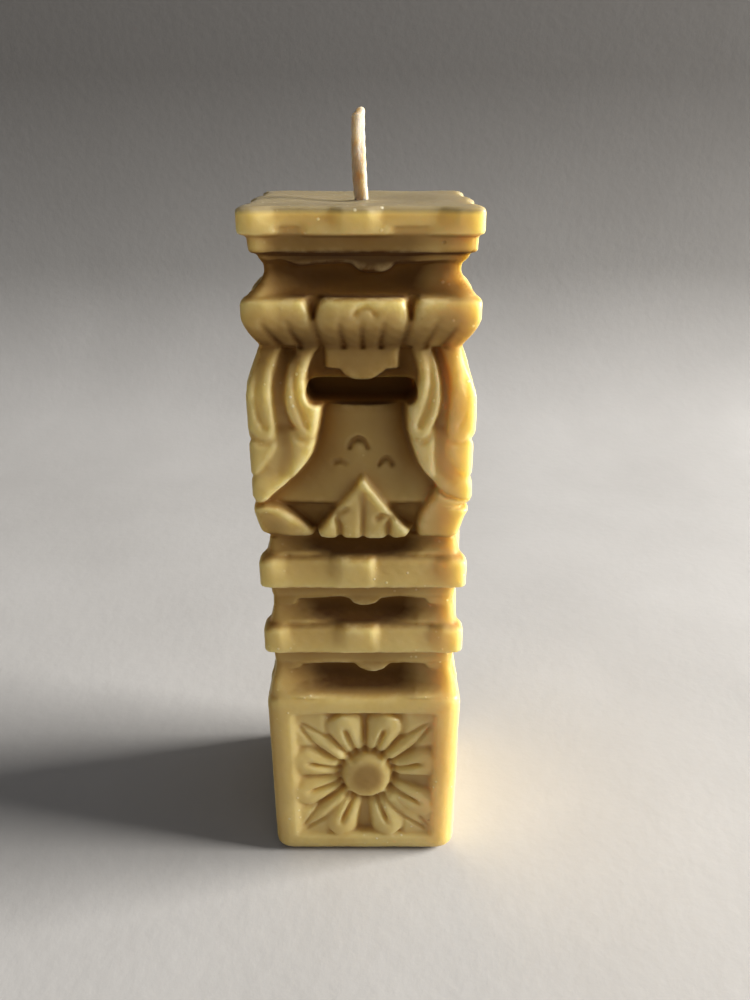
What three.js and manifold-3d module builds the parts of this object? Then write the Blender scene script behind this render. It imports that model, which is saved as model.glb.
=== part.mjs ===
import * as THREE from 'three';
import { mergeVertices } from 'three/addons/utils/BufferGeometryUtils.js';
import Module from 'manifold-3d';

// A carved square pillar candle: one cast column of wax and one plaited wick.
// Millimetres. Z is up, the foot stands on Z = 0, and the front looks along -Y.
// All four sides carry the same carving. An inset or a setback is measured inward from the half width.

// Heights of the tiers, from the foot up
const PLINTH_HEIGHT = 54.1;
const LOWER_NECK_HEIGHT = 14.0;
const LOWER_SLAB_HEIGHT = 7.9;
const MIDDLE_NECK_HEIGHT = 10.8;
const MIDDLE_SLAB_HEIGHT = 8.5;
const UPPER_NECK_HEIGHT = 5.3;
const BODY_HEIGHT = 45.0;
const LOTUS_HEIGHT = 10.4;
const CROWN_NECK_HEIGHT = 12.4;
const TOP_SLAB_HEIGHT = 5.6;

// Plan of the column
const HALF_WIDTH = 25.0; // axis to the face of the plinth, the slabs and the lip of the lotus
const CORNER_RADIUS = 1.5;

// Slabs: corner blocks and a middle tab, with scooped hollows between them
const SLAB_SCOOP = 1.6; // depth of the hollows at the top of a slab
const SCOOP_AT_FOOT = 0.15; // share of that depth at the bottom of a slab
const SCOOP_AT_EDGE = 0.45; // share of that depth at the top of the rounded lower edge
const SLAB_BLOCK_WIDTH = 4.0;
const SLAB_SLOPE_WIDTH = 3.4;
const SLOPE_KNEE_WIDTH = 0.4; // share of the slope's width at its knee
const SLOPE_KNEE_DEPTH = 0.72; // share of the scoop's depth at that knee
const TAB_HALF_WIDTH = 3.4;
const TAB_SLOPE_WIDTH = 2.2;
const TAB_SHIFT = -1.2; // the carved tabs sit a little off the middle
const SLAB_EDGE = 0.8;
const TOP_NOTCH_MIDDLE = 13.1; // round notches in the lower edge of the top slab
const TOP_NOTCH_HALF = 2.7;
const TOP_NOTCH_HEIGHT = 1.9;
const TOP_NOTCH_DEPTH = 0.8;
const TOP_DISH_RADIUS = 18.0; // shallow sunk dish round the wick
const TOP_DISH_DEPTH = 0.8;

// Bands under the slabs, and the lobed plates that hang below them
const BAND_SETBACK = 2.15;
const BAND_LEAN = 0.25; // the lower edge of a band stands this far behind its upper edge
const LOWER_BAND_HEIGHT = 4.1;
const MIDDLE_BAND_HEIGHT = 3.4;
const TOP_BAND_HEIGHT = 3.6;
const PLATE_SETBACK = 2.9;
const TOP_PLATE_SETBACK = 3.6;
const PLATE_STRAIGHT = 0.8; // height of a plate above its lobes
const LOWER_LOBE_DROP = 2.6;
const MIDDLE_LOBE_DROP = 2.2;
const TOP_LOBE_DROP = 3.9;
const CORNER_LOBE_INSET = 4.5;
const CORNER_LOBE_HALF = 2.1;
const CORNER_LOBE_SHARE = 0.9; // drop of a corner lobe as a share of the middle one's
const TAB_LOBE_HALF = 3.8;
const TAB_LOBE_SHIFT = 1.2;

// Necks
const NECK_SETBACK = 2.5;
const CROWN_NECK_SETBACK = 4.1;
const NECK_START = 0.2; // a neck starts this far inside the edge of the tier below
const NECK_RECESS = 2.8; // middle of each neck side, behind its corners
const NECK_RECESS_HALF = 15.4;
const NECK_RECESS_SLOPE = 1.4;
const NECK_CURVE_SHARE = 0.62; // share of a neck's height that its hollow curve takes
const NECK_CURVE_POWER = 2.2;

// Plinth
const PLINTH_FOOT_ROUND = 2.6;
const PLINTH_EDGE_HEIGHT = 1.4;
const PLINTH_EDGE_INSET = 0.7;
const PANEL_HALF_WIDTH = 19.2;
const PANEL_HEIGHT = 43.2;
const PANEL_BOTTOM = 6.1;
const PANEL_DEPTH = 1.8;
const PANEL_WALL_SLOPE = 0.8;

// Flower on each side of the plinth, measured outward from its middle
const FLOWER_STRETCH = 1.05; // the flower is a little taller than wide
const PETAL_START = 5.2;
const PETAL_REACH = 20.2;
const PETAL_HALF_WIDTH = 4.5;
const PETAL_FROM_AXIS = 19.5; // degrees between a petal and the nearest upright or level line
const PETAL_SIDE = [[0, 0.26], [0.82, 1], [1, 0.45]]; // [share of length, of half width]
const PETAL_RISE = 1.6;
const PETAL_FOOT_SHARE = 1.12; // outline of a petal at its foot, and at its top
const PETAL_TOP_SHARE = 0.7;
const PETAL_GROOVE_DEPTH = 0.9;
const PETAL_GROOVE_HALF = 0.9;
const PETAL_GROOVE_START = 7.2;
const SEPAL_WIDEST = 14.0;
const SEPAL_REACH = 24.6;
const SEPAL_HALF_WIDTH = 2.3;
const SEPAL_START_HALF = 0.6;
const SEPAL_RISE = 1.3;
const SEPAL_SIDE_RISE = 0.1;
const SEPAL_RIDGE_HALF = 0.1;
const SEPAL_RIDGE_INSET = 1.5; // the ridge ends this far before the tip
const BOSS_RADIUS = 6.4;
const BOSS_TOP_RADIUS = 5.3;
const BOSS_RISE = 1.8;
const BOSS_SIDE_SHARE = 0.4; // share of that rise that is upright
const BOSS_STRETCH = 1.13; // the boss is an upright oval

// Cloth folds on the body: knots of [share of the body height, size]
const BODY_BULGE = 0.3; // the folds stand this far past the half width
const BODY_CORNER_RADIUS = 3.6;
const FOLD_INSET = [[0.19, 0.9], [0.39, 0.1], [0.5, 0], [0.7, 0], [0.79, 0.35], [0.88, 1.6], [1, 3.6]];
const FOLD_STEP = 1.2; // upper folds stand this far over the lower ones
const FOLD_STEP_SHARE = [[0.19, 0.2], [0.37, 0.75], [0.4, 0.1], [0.5, 0.1], [0.58, 0.9], [1, 1]];
const CORNER_TONGUE_INSET = [[0.54, 2.8], [0.55, 5.3], [0.61, 5.9], [0.78, 5.4], [0.91, 6.1], [1, 7.8]];
const CURLED_TONGUE_EDGE = [[0.54, 12.4], [0.56, 13.9], [0.6, 15.6], [0.73, 16.7], [0.89, 16.3], [1, 14.2]];
const NICHE_EDGE = [
  [0.18, 21.2], [0.22, 21.2], [0.29, 17.9], [0.35, 15.0], [0.41, 12.8], [0.47, 11.4], [0.55, 10.4],
  [0.68, 9.8], [0.73, 10.2], [0.77, 11.6], [0.82, 12.4], [0.86, 12.3], [0.93, 11.3], [1.01, 10.1],
];
const VALLEY_LINE = [[0.4, 16.8], [0.53, 17.6], [0.82, 18.0], [0.98, 15.7]];
const VALLEY_DEPTH = 2.5;
const VALLEY_HALF = 1.5;
const CURL_LINE = [[0.62, 12.4], [0.86, 14.6]];
const CURL_LINE_DEPTH = 0.6;
const CURL_LINE_HALF = 0.8;
const HEM_LINE = [[0.37, 26.0], [0.4, 18.6]];
const HEM_LINE_DEPTH = 1.0;
const HEM_LINE_HALF = 0.9;

// Niche in each side of the body
const NICHE_BACK = 17.5; // axis to the back wall of the niche
const SLOT_BACK = 13.5;
const SLOT_HALF_WIDTH = 12.3;
const SLOT_HEIGHT = 5.6;
const SLOT_DROP = 6.8; // underside of the lotus to the top of the slot
const LINTEL_FACE = 20.3; // wall above the slot
const LINTEL_HALF_WIDTH = 13.2;
const PELMET_FACE = 21.8;
const PELMET_HALF_WIDTH = 7.6;
const PELMET_DROP = 5.0;
const PELMET_LOBE_HALF = 4.0;
const PELMET_LOBE_DROP = 2.4;

// Bell-shaped front under the slot
const BELL_FOOT = 8.3; // underside of the body to the lip of the bell
const BELL_MIDDLE = 22.3;
const BELL_FLARE = 1.3; // how far the lip stands out
const BELL_TOP_IN = 0.9; // how far the top draws in
const BELL_SIDE_DROP = 3.5;
const BELL_FOOT_DROP_SHARE = 0.25; // share of that drop at the lip
const BELL_UNDERLAP = 1.6; // the bell runs this far under the folds
const CRESCENTS = [[-0.8, 0.502, 2.3], [-5.2, 0.4, 1.7], [5.3, 0.413, 2.1]]; // [middle, share, half width]
const CRESCENT_ARC = [[-1, -0.3], [0, 0.8], [1, -0.3]]; // in half widths
const CRESCENT_DEPTH = 0.7;
const CRESCENT_HALF = 0.7;

// Underside of the body: sunk band, leaf in the middle and feet round the corners
const SUNK_BAND_INSET = [[0, 4.2], [0.3, 3.2], [0.65, 2.5], [1, 2.6]]; // [share of BELL_FOOT, inset]
const LEAF_HALF_WIDTH = 10.4;
const LEAF_HEIGHT = 15.1;
const LEAF_FACE = 24.7;
const LEAF_BEVEL = 1.6;
const LEAF_TOP_SHARE = 0.7; // outline of the leaf at its face
const LEAF_SIDE = [[0, 0.9], [0.08, 1], [0.42, 0.52]]; // [share of height, share of half width]
const LEAF_VEIN_TOP = 9.1;
const LEAF_VEIN_DEPTH = 1.3;
const LEAF_CURL_MIDDLE = 5.6;
const LEAF_CURL_TOP = 2.6;
const LEAF_CURL_DEPTH = 2.6;
const LEAF_LOBE_HEIGHT = 5.4;
const LEAF_LOBE_OUTER = 7.1;
const LEAF_LOBE_INNER = 3.9;
const LEAF_LOBE_DEPTH = 2.4;
const LEAF_GROOVE_HALF = 0.9;
const FOOT_HEIGHT = 8.2;
const FOOT_REACH = 13.4; // length of a foot along each side, from the corner
const FOOT_INSET = [[0, 2.4], [0.22, 1.7], [0.83, 0.8], [1, 1.6]]; // [share of height, inset]
const FOOT_SIDE = [[0, 0.81], [0.12, 1], [0.48, 0.77], [0.83, 0.49], [1, 0.33]]; // [of height, of reach]

// Lotus ring
const LOTUS_INSET = [[0, 3.3], [0.37, 1.1], [0.59, 0.2], [0.78, 0], [1, 0.9]]; // [share of height, inset]
const LOTUS_CORNER_RADIUS = 3.0;
const LOTUS_PETAL_HALF = 10.2;
const LOTUS_SEAM_LEAN = 1.6; // a seam stands this much nearer the middle at its foot
const LOTUS_SEAM_DEPTH = 1.1;
const LOTUS_NOTCH_HALF = 1.9;
const LOTUS_NOTCH_HEIGHT = 4.0;
const LOTUS_NOTCH_DEPTH = 2.0;
const LOTUS_GROOVE_TOP = 0.56; // share of the ring's height
const LOTUS_GROOVES = [[0, 0], [4.3, 3.8], [15.6, 13.3], [20.6, 17.4]]; // [middle at the top, at the foot]
const LOTUS_GROOVE_DEPTH = 0.75;
const LOTUS_GROOVE_HALF = 0.65;
const ARCH_RADIUS = 2.4;
const ARCH_WIDTH = 0.7;
const ARCH_HEIGHT_SHARE = 0.7;
const ARCH_BELOW_LIP = 3.2;
const ARCH_DEPTH = 0.5;

// Wick
const WICK_RADIUS = 1.45;
const WICK_STRAND_RELIEF = 0.14;
const WICK_STANDS = 18.4; // free length above the top face
const WICK_LEAN = 1.0; // sideways bend of the free end
const WICK_LEAN_TURN = 2.2; // radians of a sine wave along the free end
const WICK_BACK = 0.25; // the same, toward the back
const WICK_FOOT_GAP = 0.2; // the wick ends this far above the underside of the wax
const WICK_CLEARANCE = 0.3;
const WICK_PLAIT_PITCH = 27.0; // one full turn of a strand
const WICK_STRANDS = 3;
const WICK_END_STEP = 0.8; // the left part of the tip is cut this much lower
const WICK_END_SLOPE = 2.0;

// Making
const JOIN = 0.5; // one solid runs this far into the next, so that they are one
const CLEAR = 2.0; // a cutter runs this far past the face that it opens
const GROOVE_RISE = 2.4; // depth of a groove cutter, more than any groove is deep
const ARC_STEPS = 3;

// Levels of the tiers
const LOWER_NECK = PLINTH_HEIGHT;
const LOWER_SLAB = LOWER_NECK + LOWER_NECK_HEIGHT;
const MIDDLE_NECK = LOWER_SLAB + LOWER_SLAB_HEIGHT;
const MIDDLE_SLAB = MIDDLE_NECK + MIDDLE_NECK_HEIGHT;
const UPPER_NECK = MIDDLE_SLAB + MIDDLE_SLAB_HEIGHT;
const BODY = UPPER_NECK + UPPER_NECK_HEIGHT;
const LOTUS = BODY + BODY_HEIGHT;
const CROWN_NECK = LOTUS + LOTUS_HEIGHT;
const TOP_SLAB = CROWN_NECK + CROWN_NECK_HEIGHT;
const TOP = TOP_SLAB + TOP_SLAB_HEIGHT;
const SLOT_TOP = LOTUS - SLOT_DROP;
const SLOT_BOTTOM = SLOT_TOP - SLOT_HEIGHT;

const wasm = await Module();
wasm.setup();

// Solids and closed shapes

function solid(geometry) {
  const bare = new THREE.BufferGeometry();
  bare.setAttribute('position', geometry.getAttribute('position').clone());
  if (geometry.index) bare.setIndex(geometry.index.clone());
  const merged = mergeVertices(bare, 1e-4);
  return new wasm.Manifold(new wasm.Mesh({
    numProp: 3,
    vertProperties: new Float32Array(merged.attributes.position.array),
    triVerts: new Uint32Array(merged.index.array),
  }));
}

function geometryOf(piece) {
  const data = piece.getMesh();
  const geometry = new THREE.BufferGeometry();
  geometry.setAttribute('position', new THREE.Float32BufferAttribute(Array.from(data.vertProperties), 3));
  geometry.setIndex(Array.from(data.triVerts));
  return geometry;
}

function joined(solids) {
  return solids.reduce((sum, next) => sum.add(next));
}

// The same shape on all four sides of the column
function fourSides(geometry) {
  const turned = [];
  for (let side = 0; side < 4; side++) {
    turned.push(solid(geometry.clone().rotateZ((side * Math.PI) / 2)));
  }
  return joined(turned);
}

// Triangles that close a ring, in the ring's own direction
function capOf(ring, capPlane) {
  if (ring.length === 3) return [[0, 1, 2]];
  const flat = ring.map((point) => new THREE.Vector2(...capPlane(point)));
  const triangles = THREE.ShapeUtils.triangulateShape(flat, []);
  return THREE.ShapeUtils.isClockWise(flat) ? triangles.map(([a, b, c]) => [c, b, a]) : triangles;
}

// A closed shape through rings of [x, y, z], all of one length, with its flat ends drawn in the cap plane
function skin(rings, capPlane) {
  const count = rings[0].length;
  const index = [];
  for (let ring = 0; ring + 1 < rings.length; ring++) {
    for (let i = 0; i < count; i++) {
      const a = ring * count + i;
      const b = ring * count + ((i + 1) % count);
      index.push(a, b, b + count, a, b + count, a + count);
    }
  }
  const end = (rings.length - 1) * count;
  for (const [a, b, c] of capOf(rings[0], capPlane)) index.push(c, b, a);
  for (const [a, b, c] of capOf(rings[rings.length - 1], capPlane)) index.push(end + a, end + b, end + c);
  const geometry = new THREE.BufferGeometry();
  geometry.setAttribute('position', new THREE.Float32BufferAttribute(rings.flat(2), 3));
  geometry.setIndex(index);
  return outward(geometry);
}

// A shape whose faces point inward is turned the right way round
function outward(geometry) {
  const points = geometry.getAttribute('position');
  const index = Array.from(geometry.index.array);
  const corners = [new THREE.Vector3(), new THREE.Vector3(), new THREE.Vector3()];
  let volume = 0;
  for (let i = 0; i < index.length; i += 3) {
    corners.forEach((corner, k) => corner.fromBufferAttribute(points, index[i + k]));
    volume += corners[0].dot(corners[1].clone().cross(corners[2]));
  }
  if (volume < 0) index.reverse();
  return geometry.setIndex(index);
}

// Level outlines in plan, stacked upward
function stack(levels) {
  return skin(levels.map(([z, outline]) => outline.map(([x, y]) => [x, y, z])), ([x, y]) => [x, y]);
}

// Outlines on the front face in x and height, stacked outward from the axis
function relief(layers) {
  return skin(layers.map(([out, outline]) => outline.map(([x, z]) => [x, -out, z])), ([x, , z]) => [x, z]);
}

// A straight-walled plate on the front face
function plate(outline, inner, outer) {
  const shape = new THREE.Shape(outline.map(([x, z]) => new THREE.Vector2(x, z)));
  const geometry = new THREE.ExtrudeGeometry(shape, { depth: outer - inner, bevelEnabled: false });
  return geometry.translate(0, 0, inner).rotateX(Math.PI / 2);
}

// A three-sided cutter whose sharp inner edge follows a path of [x, z, distance from the axis]
function groove(path, half) {
  const rings = path.map(([x, z, out], i) => {
    const [fromX, fromZ] = path[Math.max(i - 1, 0)];
    const [toX, toZ] = path[Math.min(i + 1, path.length - 1)];
    const run = Math.hypot(toX - fromX, toZ - fromZ);
    const acrossX = ((toZ - fromZ) / run) * half;
    const acrossZ = ((toX - fromX) / run) * half;
    return [
      [x, -out, z],
      [x + acrossX, -(out + GROOVE_RISE), z - acrossZ],
      [x - acrossX, -(out + GROOVE_RISE), z + acrossZ],
    ];
  });
  return skin(rings);
}

const mirrored = (outline) => outline.map(([x, z]) => [-x, z]);

// Half an ellipse of [x, z] round a middle, from left to right, below it or above it
function halfRound(middleX, middleZ, halfX, rise) {
  const points = [];
  for (let i = 0; i <= ARC_STEPS; i++) {
    const turn = (i / ARC_STEPS) * Math.PI;
    points.push([middleX - halfX * Math.cos(turn), middleZ + rise * Math.sin(turn)]);
  }
  return points;
}

// Value of ascending knots of [place, value] at a place
function between(knots, place) {
  const next = knots.findIndex(([knot]) => knot > place);
  if (next === 0) return knots[0][1];
  if (next < 0) return knots[knots.length - 1][1];
  const [a, low] = knots[next - 1];
  const [b, high] = knots[next];
  return low + ((high - low) * (place - a)) / (b - a);
}

function shrunk(outline, factor) {
  const middleX = outline.reduce((sum, point) => sum + point[0], 0) / outline.length;
  const middleZ = outline.reduce((sum, point) => sum + point[1], 0) / outline.length;
  return outline.map(([x, z]) => [middleX + (x - middleX) * factor, middleZ + (z - middleZ) * factor]);
}

// Outlines in plan

// One side's run of [x, distance from the axis], closed by a rounded corner, four times round
function aroundFour(face, half, radius) {
  const side = [...face];
  const steps = 2;
  for (let i = 0; i <= steps; i++) {
    const turn = (i / steps) * (Math.PI / 2);
    side.push([half - radius + radius * Math.sin(turn), half - radius + radius * Math.cos(turn)]);
  }
  const outline = [];
  for (let k = 0; k < 4; k++) {
    for (const [x, out] of side) {
      outline.push([[x, -out], [out, x], [-x, out], [-out, -x]][k]);
    }
  }
  return outline;
}

const roundedSquare = (half, radius) => aroundFour([], half, radius);

// A tier on which the inset changes with height, from knots of [share of the height, inset]
function turnedSquare(bottom, height, insets, radius) {
  return solid(stack(insets.map(
    ([share, inset]) => [bottom + share * height, roundedSquare(HALF_WIDTH - inset, radius)],
  )));
}

function neckOutline(half, recess) {
  const edge = NECK_RECESS_HALF;
  const post = edge + NECK_RECESS_SLOPE;
  return aroundFour(
    [[-post, half], [-edge, half - recess], [edge, half - recess], [post, half]], half, CORNER_RADIUS,
  );
}

function slabOutline(half, scoop) {
  const block = HALF_WIDTH - SLAB_BLOCK_WIDTH;
  const knee = block - SLAB_SLOPE_WIDTH * SLOPE_KNEE_WIDTH;
  const foot = block - SLAB_SLOPE_WIDTH;
  const wing = TAB_HALF_WIDTH + TAB_SLOPE_WIDTH;
  return aroundFour([
    [-block, half], [-knee, half - scoop * SLOPE_KNEE_DEPTH], [-foot, half - scoop],
    [TAB_SHIFT - wing, half - scoop], [TAB_SHIFT - TAB_HALF_WIDTH, half],
    [TAB_SHIFT + TAB_HALF_WIDTH, half], [TAB_SHIFT + wing, half - scoop],
    [foot, half - scoop], [knee, half - scoop * SLOPE_KNEE_DEPTH], [block, half],
  ], half, CORNER_RADIUS);
}

// Slabs, bands and necks

function slab(bottom, height) {
  const top = bottom + height;
  return solid(stack([
    [bottom, slabOutline(HALF_WIDTH - SLAB_EDGE, SLAB_SCOOP * SCOOP_AT_FOOT)],
    [bottom + SLAB_EDGE, slabOutline(HALF_WIDTH, SLAB_SCOOP * SCOOP_AT_EDGE)],
    [top - SLAB_EDGE, slabOutline(HALF_WIDTH, SLAB_SCOOP)],
    [top, slabOutline(HALF_WIDTH - SLAB_EDGE, SLAB_SCOOP)],
  ]));
}

// Band under a slab, and the lobed plate that hangs below it
function valance(slabBottom, height, lobeDrop, setback) {
  const bottom = slabBottom - height;
  const face = HALF_WIDTH - BAND_SETBACK;
  const band = solid(stack([
    [bottom, roundedSquare(face - BAND_LEAN, CORNER_RADIUS)],
    [slabBottom + JOIN, roundedSquare(face, CORNER_RADIUS)],
  ]));
  const edge = HALF_WIDTH - CORNER_LOBE_INSET;
  const line = bottom - PLATE_STRAIGHT;
  const cornerDrop = -lobeDrop * CORNER_LOBE_SHARE;
  const outline = [
    [edge, bottom + JOIN], [-edge, bottom + JOIN],
    ...halfRound(-edge + CORNER_LOBE_HALF, line, CORNER_LOBE_HALF, cornerDrop),
    ...halfRound(TAB_LOBE_SHIFT, line, TAB_LOBE_HALF, -lobeDrop),
    ...halfRound(edge - CORNER_LOBE_HALF, line, CORNER_LOBE_HALF, cornerDrop),
  ];
  const behind = HALF_WIDTH - CROWN_NECK_SETBACK - NECK_RECESS - CLEAR;
  return band.add(fourSides(plate(outline, behind, HALF_WIDTH - setback)));
}

// Neck that spreads in a hollow curve to the edge of the tier below
function neck(bottom, top, edge, setback) {
  const corner = HALF_WIDTH - setback;
  const levels = [];
  const steps = 2;
  for (let i = 0; i <= steps; i++) {
    const t = i / steps;
    const spread = (1 - t) ** NECK_CURVE_POWER;
    const half = corner + (edge - NECK_START - corner) * spread;
    const z = bottom - JOIN + (top - bottom) * NECK_CURVE_SHARE * t;
    levels.push([z, neckOutline(half, NECK_RECESS * (1 - spread))]);
  }
  levels.push([top + JOIN, neckOutline(corner, NECK_RECESS)]);
  return solid(stack(levels));
}

// Plinth with a flower panel on each side

const FLOWER_MIDDLE = PANEL_BOTTOM + PANEL_HEIGHT / 2;
const PANEL_FLOOR = HALF_WIDTH - PANEL_DEPTH;

// Turns an outline of [outward, across] to an angle round the flower's middle
function placed(outline, angle) {
  const c = Math.cos(angle);
  const s = Math.sin(angle);
  return outline.map(([u, v]) => [u * c - v * s, FLOWER_MIDDLE + (u * s + v * c) * FLOWER_STRETCH]);
}

function petal(angle) {
  const side = PETAL_SIDE.map(([along, across]) => [
    PETAL_START + (PETAL_REACH - PETAL_START) * along, PETAL_HALF_WIDTH * across,
  ]);
  const otherSide = side.map(([u, v]) => [u, -v]).reverse();
  const outline = placed([...side, ...otherSide], angle);
  return fourSides(relief([
    [PANEL_FLOOR - JOIN, shrunk(outline, PETAL_FOOT_SHARE)],
    [PANEL_FLOOR + PETAL_RISE, shrunk(outline, PETAL_TOP_SHARE)],
  ]));
}

function petalGroove(angle) {
  const line = placed([[PETAL_GROOVE_START, 0], [PETAL_REACH + PETAL_GROOVE_HALF, 0]], angle);
  const out = PANEL_FLOOR + PETAL_RISE - PETAL_GROOVE_DEPTH;
  return fourSides(groove(line.map(([x, z]) => [x, z, out]), PETAL_GROOVE_HALF));
}

function sepal(angle) {
  const kite = (start, startHalf, half, reach) => placed(
    [[start, -startHalf], [SEPAL_WIDEST, -half], [reach, 0], [SEPAL_WIDEST, half], [start, startHalf]],
    angle,
  );
  const foot = kite(PETAL_START, SEPAL_START_HALF, SEPAL_HALF_WIDTH, SEPAL_REACH);
  const ridge = kite(PETAL_START, SEPAL_RIDGE_HALF, SEPAL_RIDGE_HALF, SEPAL_REACH - SEPAL_RIDGE_INSET);
  return fourSides(relief([
    [PANEL_FLOOR - JOIN, foot], [PANEL_FLOOR + SEPAL_SIDE_RISE, foot], [PANEL_FLOOR + SEPAL_RISE, ridge],
  ]));
}

function boss() {
  const profile = [
    [0, -JOIN], [BOSS_RADIUS, -JOIN], [BOSS_RADIUS, BOSS_RISE * BOSS_SIDE_SHARE],
    [BOSS_TOP_RADIUS, BOSS_RISE], [0, BOSS_RISE],
  ];
  const points = profile.map(([radius, out]) => new THREE.Vector2(radius, PANEL_FLOOR + out));
  const button = new THREE.LatheGeometry(points, 12).rotateX(Math.PI).scale(1, 1, BOSS_STRETCH);
  return fourSides(button.translate(0, 0, FLOWER_MIDDLE));
}

function panelHollow() {
  const rectangle = (grow) => {
    const half = PANEL_HALF_WIDTH + grow;
    const rise = PANEL_HEIGHT / 2 + grow;
    return [
      [-half, FLOWER_MIDDLE - rise], [half, FLOWER_MIDDLE - rise],
      [half, FLOWER_MIDDLE + rise], [-half, FLOWER_MIDDLE + rise],
    ];
  };
  return fourSides(relief([
    [PANEL_FLOOR, rectangle(-PANEL_WALL_SLOPE)],
    [HALF_WIDTH, rectangle(0)],
    [HALF_WIDTH + CLEAR, rectangle(CLEAR)],
  ]));
}

function plinth() {
  const levels = [];
  const steps = 2;
  for (let i = 0; i <= steps; i++) {
    const turn = (i / steps) * (Math.PI / 2);
    const inset = PLINTH_FOOT_ROUND * (1 - Math.sin(turn));
    levels.push([PLINTH_FOOT_ROUND * (1 - Math.cos(turn)), roundedSquare(HALF_WIDTH - inset, CORNER_RADIUS)]);
  }
  levels.push([PLINTH_HEIGHT - PLINTH_EDGE_HEIGHT, roundedSquare(HALF_WIDTH, CORNER_RADIUS)]);
  levels.push([PLINTH_HEIGHT, roundedSquare(HALF_WIDTH - PLINTH_EDGE_INSET, CORNER_RADIUS)]);
  const block = solid(stack(levels)).subtract(panelHollow());

  const quarter = Math.PI / 2;
  const petalAngles = [];
  const sepalAngles = [];
  for (let k = 0; k < 4; k++) {
    for (const side of [-1, 1]) {
      petalAngles.push(k * quarter + side * THREE.MathUtils.degToRad(PETAL_FROM_AXIS));
    }
    sepalAngles.push((k + 0.5) * quarter);
  }
  const flower = joined([...petalAngles.map(petal), ...sepalAngles.map(sepal)]);
  return block.add(flower.subtract(joined(petalAngles.map(petalGroove)))).add(boss());
}

// Body: cloth folds round a niche

const up = (share) => BODY + share * BODY_HEIGHT;
const shareAt = (z) => (z - BODY) / BODY_HEIGHT;
const foldFace = (share) => HALF_WIDTH + BODY_BULGE - between(FOLD_INSET, share);
const drawn = (knots) => knots.map(([share, x]) => [x, up(share)]);
const onBothSides = (outline, inner, outer) => joined(
  [outline, mirrored(outline)].map((side) => fourSides(plate(side, inner, outer))),
);

function folds() {
  const envelope = solid(stack(FOLD_INSET.map(
    ([share]) => [up(share), roundedSquare(foldFace(share), BODY_CORNER_RADIUS)],
  )));
  const lower = solid(stack(FOLD_STEP_SHARE.map(
    ([share, part]) => [up(share), roundedSquare(foldFace(share) - FOLD_STEP * part, BODY_CORNER_RADIUS)],
  )));
  const outside = HALF_WIDTH + CLEAR;
  const corner = drawn(CORNER_TONGUE_INSET.map(([share, inset]) => [share, HALF_WIDTH - inset]));
  const cornerTongue = [[outside, up(1)], [outside, corner[0][1]], ...corner];
  const curled = drawn(CURLED_TONGUE_EDGE);
  const insideNiche = PELMET_HALF_WIDTH;
  const curledTongue = [[insideNiche, up(1)], [insideNiche, curled[0][1]], ...curled];
  const tongues = onBothSides(cornerTongue, NICHE_BACK, outside).add(
    onBothSides(curledTongue, NICHE_BACK, outside),
  );
  return lower.add(tongues.intersect(envelope));
}

function nicheHollow() {
  const edge = drawn(NICHE_EDGE);
  return fourSides(plate([...mirrored(edge), ...edge.reverse()], NICHE_BACK, HALF_WIDTH + CLEAR));
}

// Solid middle of the body, and the wall above the slot
function nicheBack() {
  const half = NICHE_BACK + JOIN;
  const core = solid(stack([
    [BODY, roundedSquare(half, CORNER_RADIUS)], [LOTUS + JOIN, roundedSquare(half, CORNER_RADIUS)],
  ]));
  const lintel = [
    [-LINTEL_HALF_WIDTH, SLOT_TOP], [LINTEL_HALF_WIDTH, SLOT_TOP],
    [LINTEL_HALF_WIDTH, LOTUS], [-LINTEL_HALF_WIDTH, LOTUS],
  ];
  return core.add(fourSides(plate(lintel, SLOT_BACK, LINTEL_FACE)));
}

function pelmet() {
  const line = LOTUS - PELMET_DROP;
  const outline = [
    [PELMET_HALF_WIDTH, LOTUS], [-PELMET_HALF_WIDTH, LOTUS], [-PELMET_HALF_WIDTH, line],
    ...halfRound(0, line, PELMET_LOBE_HALF, -PELMET_LOBE_DROP), [PELMET_HALF_WIDTH, line],
  ];
  return fourSides(plate(outline, SLOT_BACK, PELMET_FACE));
}

function slot() {
  const round = SLOT_HEIGHT / 2;
  const middle = SLOT_BOTTOM + round;
  const right = halfRound(0, 0, round, round).map(([x, z]) => [SLOT_HALF_WIDTH - round + z, middle + x]);
  const left = mirrored(right).reverse();
  return fourSides(plate([...right, ...left], SLOT_BACK, LINTEL_FACE - JOIN));
}

// Section of the bell-shaped front at a height
function bellAt(z) {
  const t = (z - BODY - BELL_FOOT) / (SLOT_BOTTOM - BODY - BELL_FOOT);
  const spread = (1 - t) ** 2;
  const half = between(NICHE_EDGE, shareAt(z)) + BELL_UNDERLAP;
  const middle = BELL_MIDDLE + BELL_FLARE * spread - BELL_TOP_IN * t ** 3;
  const drop = BELL_SIDE_DROP * (1 - (1 - BELL_FOOT_DROP_SHARE) * spread);
  return { half, face: (x) => middle - drop * (x / half) ** 2 };
}

function bell() {
  const levels = [];
  const steps = 4;
  const across = 6;
  for (let i = 0; i <= steps; i++) {
    const z = BODY + BELL_FOOT + ((SLOT_BOTTOM - BODY - BELL_FOOT) * i) / steps;
    const { half, face } = bellAt(z);
    const outline = [];
    for (let k = 0; k <= across; k++) {
      const x = half * (-1 + (2 * k) / across);
      outline.push([x, -face(x)]);
    }
    levels.push([z, [...outline, [half, -SLOT_BACK], [-half, -SLOT_BACK]]]);
  }
  return fourSides(stack(levels));
}

function crescents() {
  return joined(CRESCENTS.map(([middle, share, half]) => {
    const out = bellAt(up(share)).face(middle) - CRESCENT_DEPTH;
    const path = CRESCENT_ARC.map(([u, v]) => [middle + half * u, up(share) + half * v, out]);
    return fourSides(groove(path, CRESCENT_HALF));
  }));
}

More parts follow.
